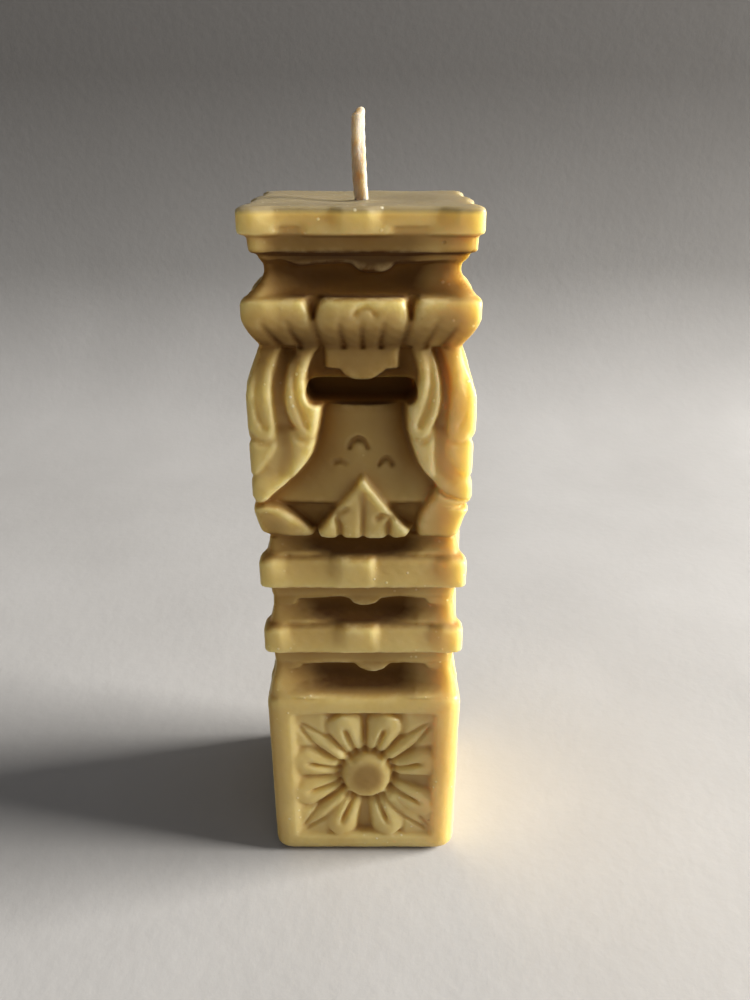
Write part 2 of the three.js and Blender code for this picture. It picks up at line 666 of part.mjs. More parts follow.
function leaf() {
  const side = LEAF_SIDE.map(([share, part]) => [part * LEAF_HALF_WIDTH, BODY + share * LEAF_HEIGHT]);
  const outline = [...side, [0, BODY + LEAF_HEIGHT], ...mirrored(side).reverse()];
  const blade = solid(relief([
    [HALF_WIDTH - NECK_SETBACK - NECK_RECESS, outline], [LEAF_FACE - LEAF_BEVEL, outline],
    [LEAF_FACE, shrunk(outline, LEAF_TOP_SHARE)],
  ]));
  const below = BODY - LEAF_GROOVE_HALF;
  const lines = [
    [[0, below, LEAF_FACE - LEAF_VEIN_DEPTH], [0, BODY + LEAF_VEIN_TOP, LEAF_FACE - LEAF_VEIN_DEPTH / 3]],
  ];
  for (const turn of [-1, 1]) {
    const curl = turn * LEAF_CURL_MIDDLE;
    const lobe = BODY + LEAF_LOBE_HEIGHT;
    lines.push([
      [curl, below, LEAF_FACE - LEAF_CURL_DEPTH],
      [curl, BODY + LEAF_CURL_TOP, LEAF_FACE - LEAF_CURL_DEPTH / 2],
    ]);
    lines.push([
      [turn * LEAF_LOBE_OUTER, lobe, LEAF_FACE - LEAF_LOBE_DEPTH],
      [turn * LEAF_LOBE_INNER, lobe, LEAF_FACE - LEAF_LOBE_DEPTH / 3],
    ]);
  }
  const cutters = joined(lines.map((path) => solid(groove(path, LEAF_GROOVE_HALF))));
  return fourSides(geometryOf(blade.subtract(cutters)));
}

function feet() {
  const shell = turnedSquare(BODY, FOOT_HEIGHT, FOOT_INSET, BODY_CORNER_RADIUS);
  const outside = HALF_WIDTH + CLEAR;
  const side = FOOT_SIDE.map(([share, part]) => [HALF_WIDTH - FOOT_REACH * part, BODY + share * FOOT_HEIGHT]);
  const outline = [[outside, BODY + FOOT_HEIGHT], [outside, BODY], ...side];
  return onBothSides(outline, NICHE_BACK, outside).intersect(shell);
}

function foldLines() {
  const lines = [
    [VALLEY_LINE, VALLEY_DEPTH, VALLEY_HALF],
    [CURL_LINE, CURL_LINE_DEPTH, CURL_LINE_HALF],
    [HEM_LINE, HEM_LINE_DEPTH, HEM_LINE_HALF],
  ];
  return joined(lines.flatMap(([knots, depth, half]) => [-1, 1].map((side) => {
    const path = knots.map(([share, x]) => [side * x, up(share), foldFace(share) - depth]);
    return fourSides(groove(path, half));
  })));
}

function body() {
  const sunkBand = turnedSquare(BODY, BELL_FOOT + JOIN, SUNK_BAND_INSET, BODY_CORNER_RADIUS);
  const front = joined([sunkBand, nicheBack(), pelmet(), bell()]);
  const cloth = folds().subtract(nicheHollow());
  const carved = cloth.add(front).subtract(slot()).subtract(crescents());
  return carved.add(leaf()).add(feet()).subtract(foldLines());
}

// Lotus ring

function lotusArch() {
  const middle = LOTUS + LOTUS_HEIGHT - ARCH_BELOW_LIP;
  const inner = ARCH_RADIUS - ARCH_WIDTH;
  const outline = [
    ...halfRound(0, middle, ARCH_RADIUS, ARCH_RADIUS * ARCH_HEIGHT_SHARE),
    ...halfRound(0, middle, inner, inner * ARCH_HEIGHT_SHARE).reverse(),
  ];
  return plate(outline, HALF_WIDTH - ARCH_DEPTH, HALF_WIDTH + CLEAR);
}

function lotus() {
  const rim = LOTUS + LOTUS_HEIGHT;
  const face = (share) => HALF_WIDTH - between(LOTUS_INSET, share);
  const across = (x, share, depth) => [x, LOTUS + share * LOTUS_HEIGHT, face(share) - depth];
  const ring = turnedSquare(LOTUS, LOTUS_HEIGHT, LOTUS_INSET, LOTUS_CORNER_RADIUS);
  const cuts = LOTUS_GROOVES.flatMap(([atTop, atFoot]) => (atTop ? [-1, 1] : [1]).map((side) => groove([
    across(side * atTop, LOTUS_GROOVE_TOP, LOTUS_GROOVE_DEPTH / 2),
    across(side * atFoot, 0, LOTUS_GROOVE_DEPTH),
  ], LOTUS_GROOVE_HALF)));
  const notchFoot = rim - LOTUS_NOTCH_HEIGHT;
  for (const side of [-1, 1]) {
    const x = side * LOTUS_PETAL_HALF;
    cuts.push(plate([
      [x, notchFoot], [x + LOTUS_NOTCH_HALF, rim + JOIN], [x - LOTUS_NOTCH_HALF, rim + JOIN],
    ], HALF_WIDTH - LOTUS_NOTCH_DEPTH, HALF_WIDTH + CLEAR));
    cuts.push(groove([
      across(x, LOTUS_GROOVE_TOP, LOTUS_SEAM_DEPTH), across(x - side * LOTUS_SEAM_LEAN, 0, LOTUS_SEAM_DEPTH),
    ], LOTUS_GROOVE_HALF));
  }
  cuts.push(lotusArch());
  return ring.subtract(joined(cuts.map(fourSides)));
}

// Wick

// Middle line of the wick: straight through the wax, then a gentle bend in the free end
function wickMiddle(z) {
  const free = THREE.MathUtils.clamp((z - TOP + TOP_DISH_DEPTH) / WICK_STANDS, 0, 1);
  return [-WICK_LEAN * Math.sin(free * WICK_LEAN_TURN), WICK_BACK * Math.sin(free * WICK_LEAN_TURN)];
}

// A shaft along that line, with a lobe for each strand
function wickShaft(radius, strandRelief, heights) {
  const around = 5 * WICK_STRANDS;
  return solid(stack(heights.map((z) => {
    const [middleX, middleY] = wickMiddle(z);
    const turn = (2 * Math.PI * Math.max(z - TOP, 0)) / WICK_PLAIT_PITCH;
    const outline = [];
    for (let i = 0; i < around; i++) {
      const angle = (i / around) * 2 * Math.PI;
      const r = radius + strandRelief * (Math.cos(WICK_STRANDS * (angle - turn)) - 1);
      outline.push([middleX + r * Math.cos(angle), middleY + r * Math.sin(angle)]);
    }
    return [z, outline];
  })));
}

function wick() {
  const heights = [];
  const inWax = 8;
  const free = 20;
  const mouth = TOP - TOP_DISH_DEPTH;
  const end = TOP + WICK_STANDS;
  for (let i = 0; i < inWax; i++) heights.push(WICK_FOOT_GAP + ((mouth - WICK_FOOT_GAP) * i) / inWax);
  for (let i = 0; i <= free; i++) heights.push(mouth + ((end - mouth) * i) / free);

  // The left part of the tip is cut lower, on a slope
  const [middle] = wickMiddle(end);
  const past = WICK_RADIUS + CLEAR;
  const slope = (right) => [
    [middle - past, -past], [middle + right, -past], [middle + right, past], [middle - past, past],
  ];
  const cutter = solid(stack([
    [end - WICK_END_STEP, slope(0)], [end + CLEAR, slope(WICK_END_SLOPE)],
  ]));
  return wickShaft(WICK_RADIUS, WICK_STRAND_RELIEF, heights).subtract(cutter);
}

// Whole column of wax

function topNotches() {
  const notch = (middle) => {
    const half = TOP_NOTCH_HALF;
    const outline = [
      ...halfRound(middle, TOP_SLAB, half, TOP_NOTCH_HEIGHT),
      [middle + half, TOP_SLAB - JOIN], [middle - half, TOP_SLAB - JOIN],
    ];
    return fourSides(plate(outline, HALF_WIDTH - SLAB_SCOOP - TOP_NOTCH_DEPTH, HALF_WIDTH + CLEAR));
  };
  return notch(-TOP_NOTCH_MIDDLE).add(notch(TOP_NOTCH_MIDDLE));
}

function dish() {
  const points = [];
  const steps = 2;
  for (let i = 0; i <= steps; i++) {
    const t = i / steps;
    points.push(new THREE.Vector2(TOP_DISH_RADIUS * t, TOP - TOP_DISH_DEPTH * (1 - t * t)));
  }
  points.push(new THREE.Vector2(TOP_DISH_RADIUS, TOP + CLEAR), new THREE.Vector2(0, TOP + CLEAR));
  return solid(new THREE.LatheGeometry(points, 16).rotateX(Math.PI / 2));
}

function wax() {
  const slabEdge = HALF_WIDTH - SLAB_EDGE;
  const lotusEdge = HALF_WIDTH - between(LOTUS_INSET, 1);
  const column = joined([
    plinth(),
    neck(LOWER_NECK, LOWER_SLAB, HALF_WIDTH - PLINTH_EDGE_INSET, NECK_SETBACK),
    valance(LOWER_SLAB, LOWER_BAND_HEIGHT, LOWER_LOBE_DROP, PLATE_SETBACK),
    slab(LOWER_SLAB, LOWER_SLAB_HEIGHT),
    neck(MIDDLE_NECK, MIDDLE_SLAB, slabEdge, NECK_SETBACK),
    valance(MIDDLE_SLAB, MIDDLE_BAND_HEIGHT, MIDDLE_LOBE_DROP, PLATE_SETBACK),
    slab(MIDDLE_SLAB, MIDDLE_SLAB_HEIGHT),
    neck(UPPER_NECK, BODY, slabEdge, NECK_SETBACK),
    body(),
    lotus(),
    neck(CROWN_NECK, TOP_SLAB, lotusEdge, CROWN_NECK_SETBACK),
    valance(TOP_SLAB, TOP_BAND_HEIGHT, TOP_LOBE_DROP, TOP_PLATE_SETBACK),
    slab(TOP_SLAB, TOP_SLAB_HEIGHT),
  ]);
  const bore = wickShaft(WICK_RADIUS + WICK_CLEARANCE, 0, [-CLEAR, TOP - TOP_DISH_DEPTH, TOP + CLEAR]);
  return column.subtract(topNotches()).subtract(dish()).subtract(bore);
}

function mesh(name, piece, colour, roughness) {
  const geometry = geometryOf(piece);
  geometry.computeVertexNormals();
  const made = new THREE.Mesh(geometry, new THREE.MeshStandardMaterial({ color: colour, roughness }));
  made.name = name;
  return made;
}

const candle = new THREE.Group();
candle.name = 'carved_pillar_candle';
candle.add(mesh('wax_body', wax(), 0xd9b868, 0.45));
candle.add(mesh('wick', wick(), 0xe9dcc0, 0.7));
export default candle;
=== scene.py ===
"""A carved beeswax pillar candle with a free wick, on a pale sweep in soft light from the right."""
import math

import bpy
import numpy as np
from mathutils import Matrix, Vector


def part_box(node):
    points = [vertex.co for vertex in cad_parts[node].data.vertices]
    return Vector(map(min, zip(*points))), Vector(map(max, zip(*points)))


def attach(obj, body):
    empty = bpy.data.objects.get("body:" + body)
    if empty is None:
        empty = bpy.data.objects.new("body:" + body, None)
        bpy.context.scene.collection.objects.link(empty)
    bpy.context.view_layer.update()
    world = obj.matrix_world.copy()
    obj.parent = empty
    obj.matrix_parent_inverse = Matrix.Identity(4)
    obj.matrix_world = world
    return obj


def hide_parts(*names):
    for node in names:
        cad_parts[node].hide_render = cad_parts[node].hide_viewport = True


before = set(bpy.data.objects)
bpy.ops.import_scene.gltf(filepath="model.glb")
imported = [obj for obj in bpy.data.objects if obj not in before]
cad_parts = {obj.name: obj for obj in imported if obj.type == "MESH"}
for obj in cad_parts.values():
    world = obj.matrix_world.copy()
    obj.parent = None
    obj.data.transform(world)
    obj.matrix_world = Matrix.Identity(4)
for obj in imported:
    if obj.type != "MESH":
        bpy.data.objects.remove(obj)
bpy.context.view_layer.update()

MM = 0.001

# All lengths below are in millimetres. u runs across one face, z runs up, and a height is the
# distance of the carved surface from the middle plane of the column. The four faces carry the
# same carving.
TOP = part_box("wax_body")[1].z / MM
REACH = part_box("wax_body")[1].x / MM
WICK_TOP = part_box("wick")[1].z / MM
WICK_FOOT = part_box("wick")[0].z / MM

# Lattice of the wax, and the relief grid of one face, which is twice as fine, so that edges can
# be softened between the lattice's nodes
CELL = 0.42
STEP = CELL / 2
MARGIN = 2 * CELL
CLEARANCE = 0.02

# How raised plates meet the ground: steepness of their walls, fillet, and blur over everything
WALL_SLOPE, SOFTNESS, BLUR = 6.0, 0.3, 0.26

# Heights of the tiers
NECK_C, FASCIA_C, SLAB_C = 54.1, 64.0, 67.7
NECK_B, FASCIA_B, SLAB_B = 76.0, 83.4, 86.6
NECK_A, BODY, LOTUS = 95.3, 99.6, 144.9
CROWN_NECK, FASCIA_A, SLAB_A = 156.0, 164.8, 168.4

# Silhouette of each stretch, as (z, height) pairs: at the corner posts and in the hollow middles
PLINTH_EDGE = [(0, 25.2), (51.2, 25.28), (52.8, 25.05), (53.6, 24.7), (54.1, 24.3)]
NECK_C_POST = [(54.1, 24.35), (56, 24.2), (58.5, 23.8), (60.9, 23.2), (63.1, 22.8), (64, 22.75)]
NECK_C_MIDDLE = [(54.1, 24.0), (54.9, 22.8), (56, 21.3), (57.5, 20.0), (59.5, 19.2), (62, 18.9),
                 (64, 18.9)]
NECK_B_POST = [(76, 23.3), (76.8, 23.1), (79.1, 22.8), (81.8, 22.5), (83.4, 22.5)]
NECK_B_MIDDLE = [(76, 21.7), (76.7, 21.1), (77.8, 20.2), (79.2, 19.3), (81, 18.8), (83.4, 18.7)]
NECK_A_POST = [(95.3, 23.2), (96.4, 22.7), (98.7, 22.6), (100.6, 22.5)]
NECK_A_MIDDLE = [(95.3, 21.7), (95.9, 21.0), (97, 20.0), (98.5, 19.1), (100.6, 18.7)]
CROWN_POST = [(156, 23.8), (157.2, 22.8), (158.8, 21.6), (160.9, 20.8), (162.2, 20.9),
              (163.4, 21.8), (164.8, 22.4)]
CROWN_MIDDLE = [(156, 20.6), (156.6, 19.4), (157.6, 18.7), (159.5, 18.3), (164.8, 18.2)]
LOTUS_EDGE = [(144.8, 22.0), (145.6, 22.3), (146.9, 23.0), (148.4, 23.9), (150, 24.7),
              (151.7, 25.25), (154.6, 25.3), (155.6, 25.0), (156, 24.4)]
FOLD_EDGE = [(99.6, 23.0), (102.3, 23.7), (104.9, 24.3), (107.3, 24.8), (109.3, 25.2),
             (110.7, 25.3), (132, 25.3), (135.1, 25.2), (137.6, 24.7), (140, 23.9), (142.5, 23.0),
             (144.2, 22.3), (145.6, 21.9)]

# Necks: bottom, top, their two silhouettes, and where the posts start and are full
NECKS = [
    (NECK_C, FASCIA_C, NECK_C_MIDDLE, NECK_C_POST, 12.0, 23.5),
    (NECK_B, FASCIA_B, NECK_B_MIDDLE, NECK_B_POST, 12.0, 23.5),
    (NECK_A, BODY, NECK_A_MIDDLE, NECK_A_POST, 12.0, 23.5),
    (CROWN_NECK, FASCIA_A, CROWN_MIDDLE, CROWN_POST, 13.0, 22.5),
]
NECK_BOW, NECK_BOW_HALF = 1.7, 14.0

# Fascias: bottom, top and height at the top, with a slight slant below it
FASCIAS = [(FASCIA_A, SLAB_A, 23.15), (FASCIA_B, SLAB_B, 22.75), (FASCIA_C, SLAB_C, 22.95)]
FASCIA_SLANT = 0.15

# Slabs: bottom, top, face height, hollow across the face as (u, share), depth at top and bottom
SLABS = [
    (SLAB_A, TOP, 25.0, [(-21.5, 0), (-17.2, 1), (-6.2, 1), (-3.6, 0), (1.6, 0), (4.4, 1),
                         (15.8, 1), (19.8, 0)], 1.3, 0.35),
    (SLAB_B, NECK_A, 24.95, [(-21.7, 0), (-18.3, 1), (-8, 1), (-5, 0), (1.8, 0), (3.3, 1),
                             (17.3, 1), (20.9, 0)], 1.3, 0.25),
    (SLAB_C, NECK_B, 24.9, [(-20.7, 0), (-18, 1), (-7.2, 1), (-4.3, 0), (2.3, 0), (4.2, 1),
                            (16.6, 1), (19.6, 0)], 1.3, 0.25),
]
SLAB_ROUND_TOP, SLAB_ROUND_FOOT, SLAB_HOLLOW_START = 2.3, 0.6, 1.0

# Notches in the foot of the top slab, as (middle, half width) pairs
TOP_NOTCHES = [(-14.3, 2.9), (10.2, 4.4)]
NOTCH_DEPTH, NOTCH_FULL, NOTCH_END = 0.9, 1.2, 2.3

# Cloth-like lobes that hang from the fascias, as (u, z) outlines, each with its height
PENDANTS = [
    (21.5, [(-24, 165.2), (-24, 163.2), (-16.2, 163.0), (-13.0, 162.0), (-9, 162.4), (-3.4, 162.6),
            (-1.9, 162.4), (-0.8, 161.4), (0.6, 160.8), (4.6, 160.8), (6.2, 161.4), (7.2, 162.5),
            (12, 162.6), (16.2, 163.0), (24, 163.2), (24, 165.2)]),
    (22.3, [(-25, 83.8), (-25, 81.0), (-20.4, 80.6), (-18.3, 80.2), (-16.5, 80.8), (-15.9, 82.2),
            (-9, 82.5), (-5.4, 82.8), (-3.4, 82.2), (-2.5, 80.9), (-0.8, 80.3), (1.4, 80.4),
            (3.2, 81.0), (4.4, 82.3), (9, 82.8), (15.2, 82.3), (16.3, 80.9), (19.6, 80.3),
            (25, 81.0), (25, 83.8)]),
    (22.5, [(-25, 64.4), (-25, 61.2), (-20.3, 61.1), (-16.5, 61.5), (-15.8, 62.8), (-9, 63.2),
            (-2.4, 63.1), (-1.2, 61.7), (0.8, 60.7), (3.2, 60.5), (5.2, 61.3), (6.8, 62.9),
            (11, 63.2), (15.7, 62.9), (16.6, 61.5), (20.6, 61.1), (25, 61.2), (25, 64.4)]),
]
PENDANT_EDGE = 0.5

# Flower panel on the plinth: outline, rim and floor, which rises a little to both sides
PANEL_HALF, PANEL_FOOT, PANEL_HEAD, PANEL_ROUND = 19.2, 6.0, 49.5, 1.6
PANEL_LIP, PANEL_SLOPE = 0.3, 2.0
LEFT_EASE, LEFT_EASE_START, LEFT_EASE_FULL = 0.8, 10.0, 17.0
PANEL_FLOOR, PANEL_RISE, PANEL_RISE_START = 22.4, 0.8, 11.0
LEFT_RISE, LEFT_RISE_START = 0.5, 14.0
SPANDREL_TOP, SPANDREL_START, SPANDREL_SLOPE, SPANDREL_RUN = 24.5, 9.3, 0.55, 2.0

# Flower, with its petals as (angle, reach) pairs. PETAL_BELLY is where along it a petal is widest.
FLOWER_U, FLOWER_Z, FLOWER_STRETCH = 0.3, 26.9, 1.06
PETALS = [(109, 20.9), (71.5, 20.9), (17, 20.0), (-30, 21.6), (-68, 20.6), (-114, 20.9),
          (197, 20.4), (163, 20.2)]
PETAL_ROOT, PETAL_HALF, PETAL_BELLY, PETAL_RISE = 6.2, 5.3, 0.74, 2.6
PETAL_ROOT_SHARE, PETAL_WIDENING, PETAL_END, PETAL_CROWN = 0.40, 1.2, 2.8, 2.5
PETAL_ROOT_RISE, PETAL_MORE_RISE, PETAL_RISE_FULL, PETAL_THIN = 0.55, 0.45, 0.6, 0.05
CLEFT_HALF, CLEFT_DEPTH, CLEFT_CLOSING, CLEFT_END = 0.6, 0.72, 0.58, 0.78

# Sepals between the petals, towards the panel's corners, each with a groove round it
SEPAL_TURNS = (45, 135, 225, 315)
SEPAL_START, SEPAL_WIDE, SEPAL_TIP, SEPAL_HALF = 7.5, 15.5, 24.4, 1.85
SEPAL_WIDTH = [(SEPAL_START, 0.35), (SEPAL_WIDE, 1), (SEPAL_TIP, 0)]
SEPAL_BEFORE, SEPAL_BEYOND = 2.0, 0.6
SEPAL_TOP, SEPAL_DROOP, SEPAL_RIDGE, SEPAL_WALL = 24.7, 0.5, 0.45, 2.5
SEPAL_GROOVE, SEPAL_GROOVE_HALF = 1.0, 0.45
SEPAL_GROOVE_START, SEPAL_GROOVE_END = (8, 11), (25.5, 23)

# Boss in the middle of the flower, slightly domed, with a groove round it
BOSS_HALF, BOSS_BEVEL, BOSS_STRETCH, BOSS_TOP, BOSS_SHIFT = 4.5, 2.3, 1.13, 24.6, 0.35
BOSS_GROOVE, BOSS_GROOVE_OUT, BOSS_GROOVE_HALF = 1.3, 0.7, 1.1
BOSS_DOME, BOSS_DOME_HALF = 0.12, 3.5

# Niche with the bell-shaped front, its lip and the band and crease below it
WALL_HEIGHT = 20.3
BELL_MIDDLE = [(108, 23.0), (112, 22.8), (117, 22.6), (125, 22.4), (133, 22.0)]
BELL_HALF = [(108, 21.5), (114, 17.5), (120, 13.5), (126, 11.2), (133, 10.4)]
BELL_DROP = [(108, 0.8), (114, 2.2), (122, 3.3), (133, 3.7)]
BELL_FOOT, BELL_BEYOND, LIP_DEPTH, LIP_HALF = 108.1, 1.3, 0.9, 0.9
BAND_EDGE = [(99.6, 19.7), (103, 20.7), (106, 21.4), (108, 21.7)]
BAND_FALL, BAND_FLAT, BAND_POWER = 0.012, 4, 1.5
CREASE_DEPTH, CREASE_BELOW, CREASE_HALF = 0.35, 0.4, 0.5
SLOT_HALF, SLOT_LOW, SLOT_HIGH, SLOT_BACK = 12.3, 132.7, 138.0, 13.5
SLOT_SOFT, SLOT_BACK_SOFT, SLOT_MARGIN = 0.7, 1.2, 3.0
PELMET = [(-7.9, 147), (-7.9, 140.5), (-4.8, 140.1), (-3.6, 138.8), (-1.6, 137.7), (1.8, 137.7),
          (3.8, 138.9), (5.4, 140.1), (8.2, 140.4), (8.2, 147)]
PELMET_HEIGHT, PELMET_ROUND = 22.4, 0.9

# Crescents on the bell, as (depth, path), each with a soft swelling below it
CRESCENTS = [(1.15, [(-2.8, 122.4), (-2.1, 123.9), (-0.8, 124.6), (0.5, 123.9), (1.3, 122.4)]),
             (0.7, [(-6.3, 118.5), (-5.1, 119.2), (-3.8, 118.5)]),
             (1.0, [(3.9, 118.2), (4.6, 119.3), (5.4, 119.7), (6.2, 119.3), (6.9, 118.2)])]
CRESCENT_HALF = 0.45
SWELLING, SWELLING_BELOW, SWELLING_WIDE, SWELLING_HIGH = 0.16, 0.2, 1.5, 1.4

# Folds and tongues of cloth on both sides of the niche
FOLD_LEFT = [(-27, 147), (-14.4, 147), (-13.6, 140), (-13.2, 134), (-12.0, 128), (-10.4, 125.2),
             (-10.9, 123.1), (-11.7, 121.2), (-12.6, 119.5), (-14.0, 117.8), (-15.7, 115.8),
             (-17.6, 113.9), (-19.8, 112.1), (-21.2, 110.8), (-22.2, 109.7), (-24.1, 109.2),
             (-27, 109.6)]
FOLD_RIGHT = [(27, 147), (15.2, 147), (14.4, 140), (14.0, 134), (12.4, 129), (10.6, 125.7),
              (11.2, 123.8), (12.1, 121.4), (13.1, 118.7), (14.7, 116.3), (16.4, 114.6),
              (17.2, 113.4), (18.9, 111.9), (21.5, 110.9), (24, 110.3), (27, 110.2)]
CORNER_FOLD_LEFT = [(-27, 127), (-18.7, 127), (-19.2, 122.8), (-20.6, 120.4), (-22.6, 118.0),
                    (-24.3, 116.2), (-27, 115.2)]
CORNER_FOLD_RIGHT = [(27, 127), (18.9, 127), (18.8, 122.6), (19.9, 119.9), (22.0, 117.6),
                     (24.3, 116.0), (27, 115.2)]
MIDDLE_FOLD_LEFT = [(-15.9, 127.6), (-10.8, 127.6), (-10.4, 124.6), (-11.5, 121.2), (-12.7, 119.3),
                    (-14.1, 117.5), (-15.9, 115.4), (-16.1, 117.5), (-15.6, 121.2), (-15.8, 124.8)]
MIDDLE_FOLD_RIGHT = [(16.4, 127.6), (11.0, 127.6), (10.9, 125.0), (12.1, 121.4), (13.1, 118.8),
                     (14.7, 116.4), (16.2, 114.9), (16.6, 117.5), (16.2, 121.2), (16.3, 124.8)]
CORNER_TONGUE_LEFT = [(-27, 147), (-16.9, 147), (-17.3, 144.8), (-18.2, 142.7), (-19.2, 139.8),
                      (-19.6, 136.5), (-19.4, 133.1), (-19.1, 129.7), (-19.0, 127.2),
                      (-19.8, 125.2), (-21.4, 124.6), (-22.8, 125.0), (-24.2, 126.2), (-27, 127.2)]
CURLED_TONGUE_LEFT = [(-9.2, 147), (-9.2, 144.6), (-10.3, 143.5), (-11.2, 141.8), (-11.9, 140.0),
                      (-12.3, 138.3), (-12.1, 136.7), (-11.4, 135.1), (-10.4, 133.8), (-9.2, 133.1),
                      (-9.2, 132.0), (-9.5, 129.7), (-9.9, 127.3), (-10.4, 125.3), (-12.4, 125.1),
                      (-13.7, 125.9), (-14.4, 127.4), (-15.5, 128.8), (-16.4, 131), (-16.8, 134),
                      (-16.5, 138), (-15.8, 141.5), (-14.2, 144.5), (-13.6, 147)]
CURLED_TONGUE_RIGHT = [(10.6, 147), (11.0, 144.2), (11.9, 142.0), (12.4, 139.8), (12.4, 137.6),
                       (11.8, 136.0), (10.7, 134.9), (10.3, 134.0), (10.3, 129.7), (10.5, 126.4),
                       (11.4, 125.3), (13.4, 125.0), (14.8, 125.9), (15.9, 128.0), (17.0, 130.8),
                       (17.5, 134), (17.2, 138), (16.5, 141.5), (15.2, 144.5), (14.8, 147)]
TONGUE_TIPS = [
    [(-18.6, 127.4), (-19.6, 124.8), (-21.3, 124.1), (-23.0, 124.5), (-24.8, 126.1)],
    [(18.6, 127.4), (19.6, 124.8), (21.3, 124.1), (23.0, 124.5), (24.8, 126.1)],
    [(-10.4, 124.9), (-12.5, 124.6), (-14.0, 125.5), (-15.0, 127.1), (-16.2, 128.6), (-17.0, 131)],
    [(11.0, 124.9), (13.4, 124.5), (15.2, 125.6), (16.4, 127.8), (17.4, 130.6)]]
CURLED_GROOVE_LEFT = [(-13.9, 143.6), (-14.6, 141.0), (-14.6, 137.6), (-14.1, 134.2),
                      (-13.1, 131.2), (-12.0, 128.2)]
CURLED_GROOVE_RIGHT = [(14.4, 143.6), (15.1, 141.0), (15.2, 137.6), (14.7, 134.0), (13.8, 131.0),
                       (12.8, 128.6)]
CORNER_GROOVE = [(21.7, 143.0), (22.5, 140.0), (23.0, 136.6), (23.0, 133.3), (22.5, 130.3),
                 (21.5, 128.0)]
LOWER_VALLEY = [(17.2, 127.5), (17.3, 122.5), (17.5, 119.0), (18.6, 116.2), (20.4, 114.6)]
UPPER_VALLEY = [(15.9, 146), (16.8, 141.6), (17.7, 138.3), (18.1, 134.9), (18.1, 131.5),
                (17.8, 128), (17.4, 125)]
FOOT_LEFT = [(-27, 108.8), (-25.1, 108.3), (-22.5, 108.7), (-20.2, 108.3), (-18.4, 107.5),
             (-16.8, 106.4), (-15.0, 105.0), (-13.2, 103.4), (-11.4, 101.8), (-11.6, 100.2),
             (-13.4, 99.7), (-27, 99.6)]
FOOT_RIGHT = [(13.1, 100.3), (12.9, 103.7), (13.5, 105.9), (14.4, 107.9), (15.9, 110.4),
              (17.2, 112.9), (18.8, 111.8), (21.4, 110.8), (24, 110.2), (27, 110.1), (27, 99.6),
              (13.6, 99.7)]

# How far the folds lie below the envelope: at their foot, and further in two steps going up, each
# as (start, end, depth). Then the same for the upper folds and tongues, and how round each is.
FOLD_UNDER, FOLD_STEPS = 0.15, [(113.5, 117.5, 0.75), (125.0, 129.0, 0.6)]
UPPER_FOLD_UNDER, TONGUE_PROUD = 0.25, 0.05
FOLD_ROUND, UPPER_FOLD_ROUND, TONGUE_ROUND, FOOT_ROUND = 1.2, 0.9, 1.3, 1.5

# Leaf in front of the bell's foot, with ribs as (rise, path) and grooves as (depth, path)
LEAF = [(0.1, 116.1), (-0.9, 114.4), (-2.8, 112.2), (-4.7, 109.7), (-6.3, 107.4), (-8.0, 105.3),
        (-9.4, 103.5), (-10.5, 101.5), (-10.1, 100.2), (-8.6, 99.7), (8.6, 99.7), (10.4, 100.2),
        (11.4, 101.9), (9.9, 103.3), (8.3, 104.9), (6.9, 106.7), (5.0, 109.3), (3.2, 111.8),
        (1.3, 114.4)]
LEAF_TOP, LEAF_BEVEL = 24.2, 1.3
LEAF_RIBS = [(0.3, [(0.1, 114.6), (-3.2, 110.2), (-5.4, 107.0), (-7.6, 104.4), (-8.9, 102.2)]),
             (0.75, [(0.3, 114.6), (3.3, 110.4), (5.8, 107.0), (8.2, 104.0), (9.8, 102.3)])]
LEAF_RIB_HALF = 1.1
LEAF_GROOVES = [(1.1, [(0.3, 111.2), (0.2, 106), (0.1, 99.4)]),
                (1.5, [(-3.9, 107.6), (-5.6, 106.5), (-6.0, 105.0), (-5.3, 103.2), (-5.3, 99.4)]),
                (1.5, [(3.4, 105.2), (5.0, 106.1), (6.6, 105.6), (6.1, 103.4), (6.1, 99.4)])]

# Lotus ring
LOTUS_NOTCHES = [[(-12.1, 157), (-11.9, 155.6), (-10.1, 151.7), (-8.2, 155.6), (-8.0, 157)],
                 [(8.9, 157), (9.1, 155.6), (10.5, 151.7), (11.9, 155.6), (12.1, 157)]]
LOTUS_SEAMS = [[(-10.1, 152.2), (-9.6, 149), (-8.7, 145.6)],
               [(10.5, 152.2), (10.0, 149), (9.1, 145.6)]]
LOTUS_GROOVES = [[(-4.5, 151.6), (-4.3, 148.5), (-3.8, 145.6)],
                 [(0.3, 151.6), (0.3, 148.5), (0.3, 145.6)],
                 [(5.0, 151.6), (4.6, 148.5), (4.2, 145.6)],
                 [(-21.2, 151.6), (-19.6, 148.4), (-17.5, 145.4)],
                 [(-15.6, 151.4), (-14.7, 148.4), (-13.3, 145.4)],
                 [(21.0, 151.6), (19.6, 148.4), (17.7, 145.4)],
                 [(16.4, 151.6), (15.4, 148.4), (14.0, 145.4)]]
LOTUS_ARCH = [(-1.4, 153.0), (-0.5, 154.0), (0.9, 154.4), (2.2, 154.0), (3.0, 153.0)]
LOTUS_BOW, LOTUS_MIDDLE, LOTUS_BOW_HALF = 0.35, 0.2, 10.3
LOTUS_NOTCH_DEPTH, LOTUS_NOTCH_EDGE = 3.4, (-0.6, 0.7)

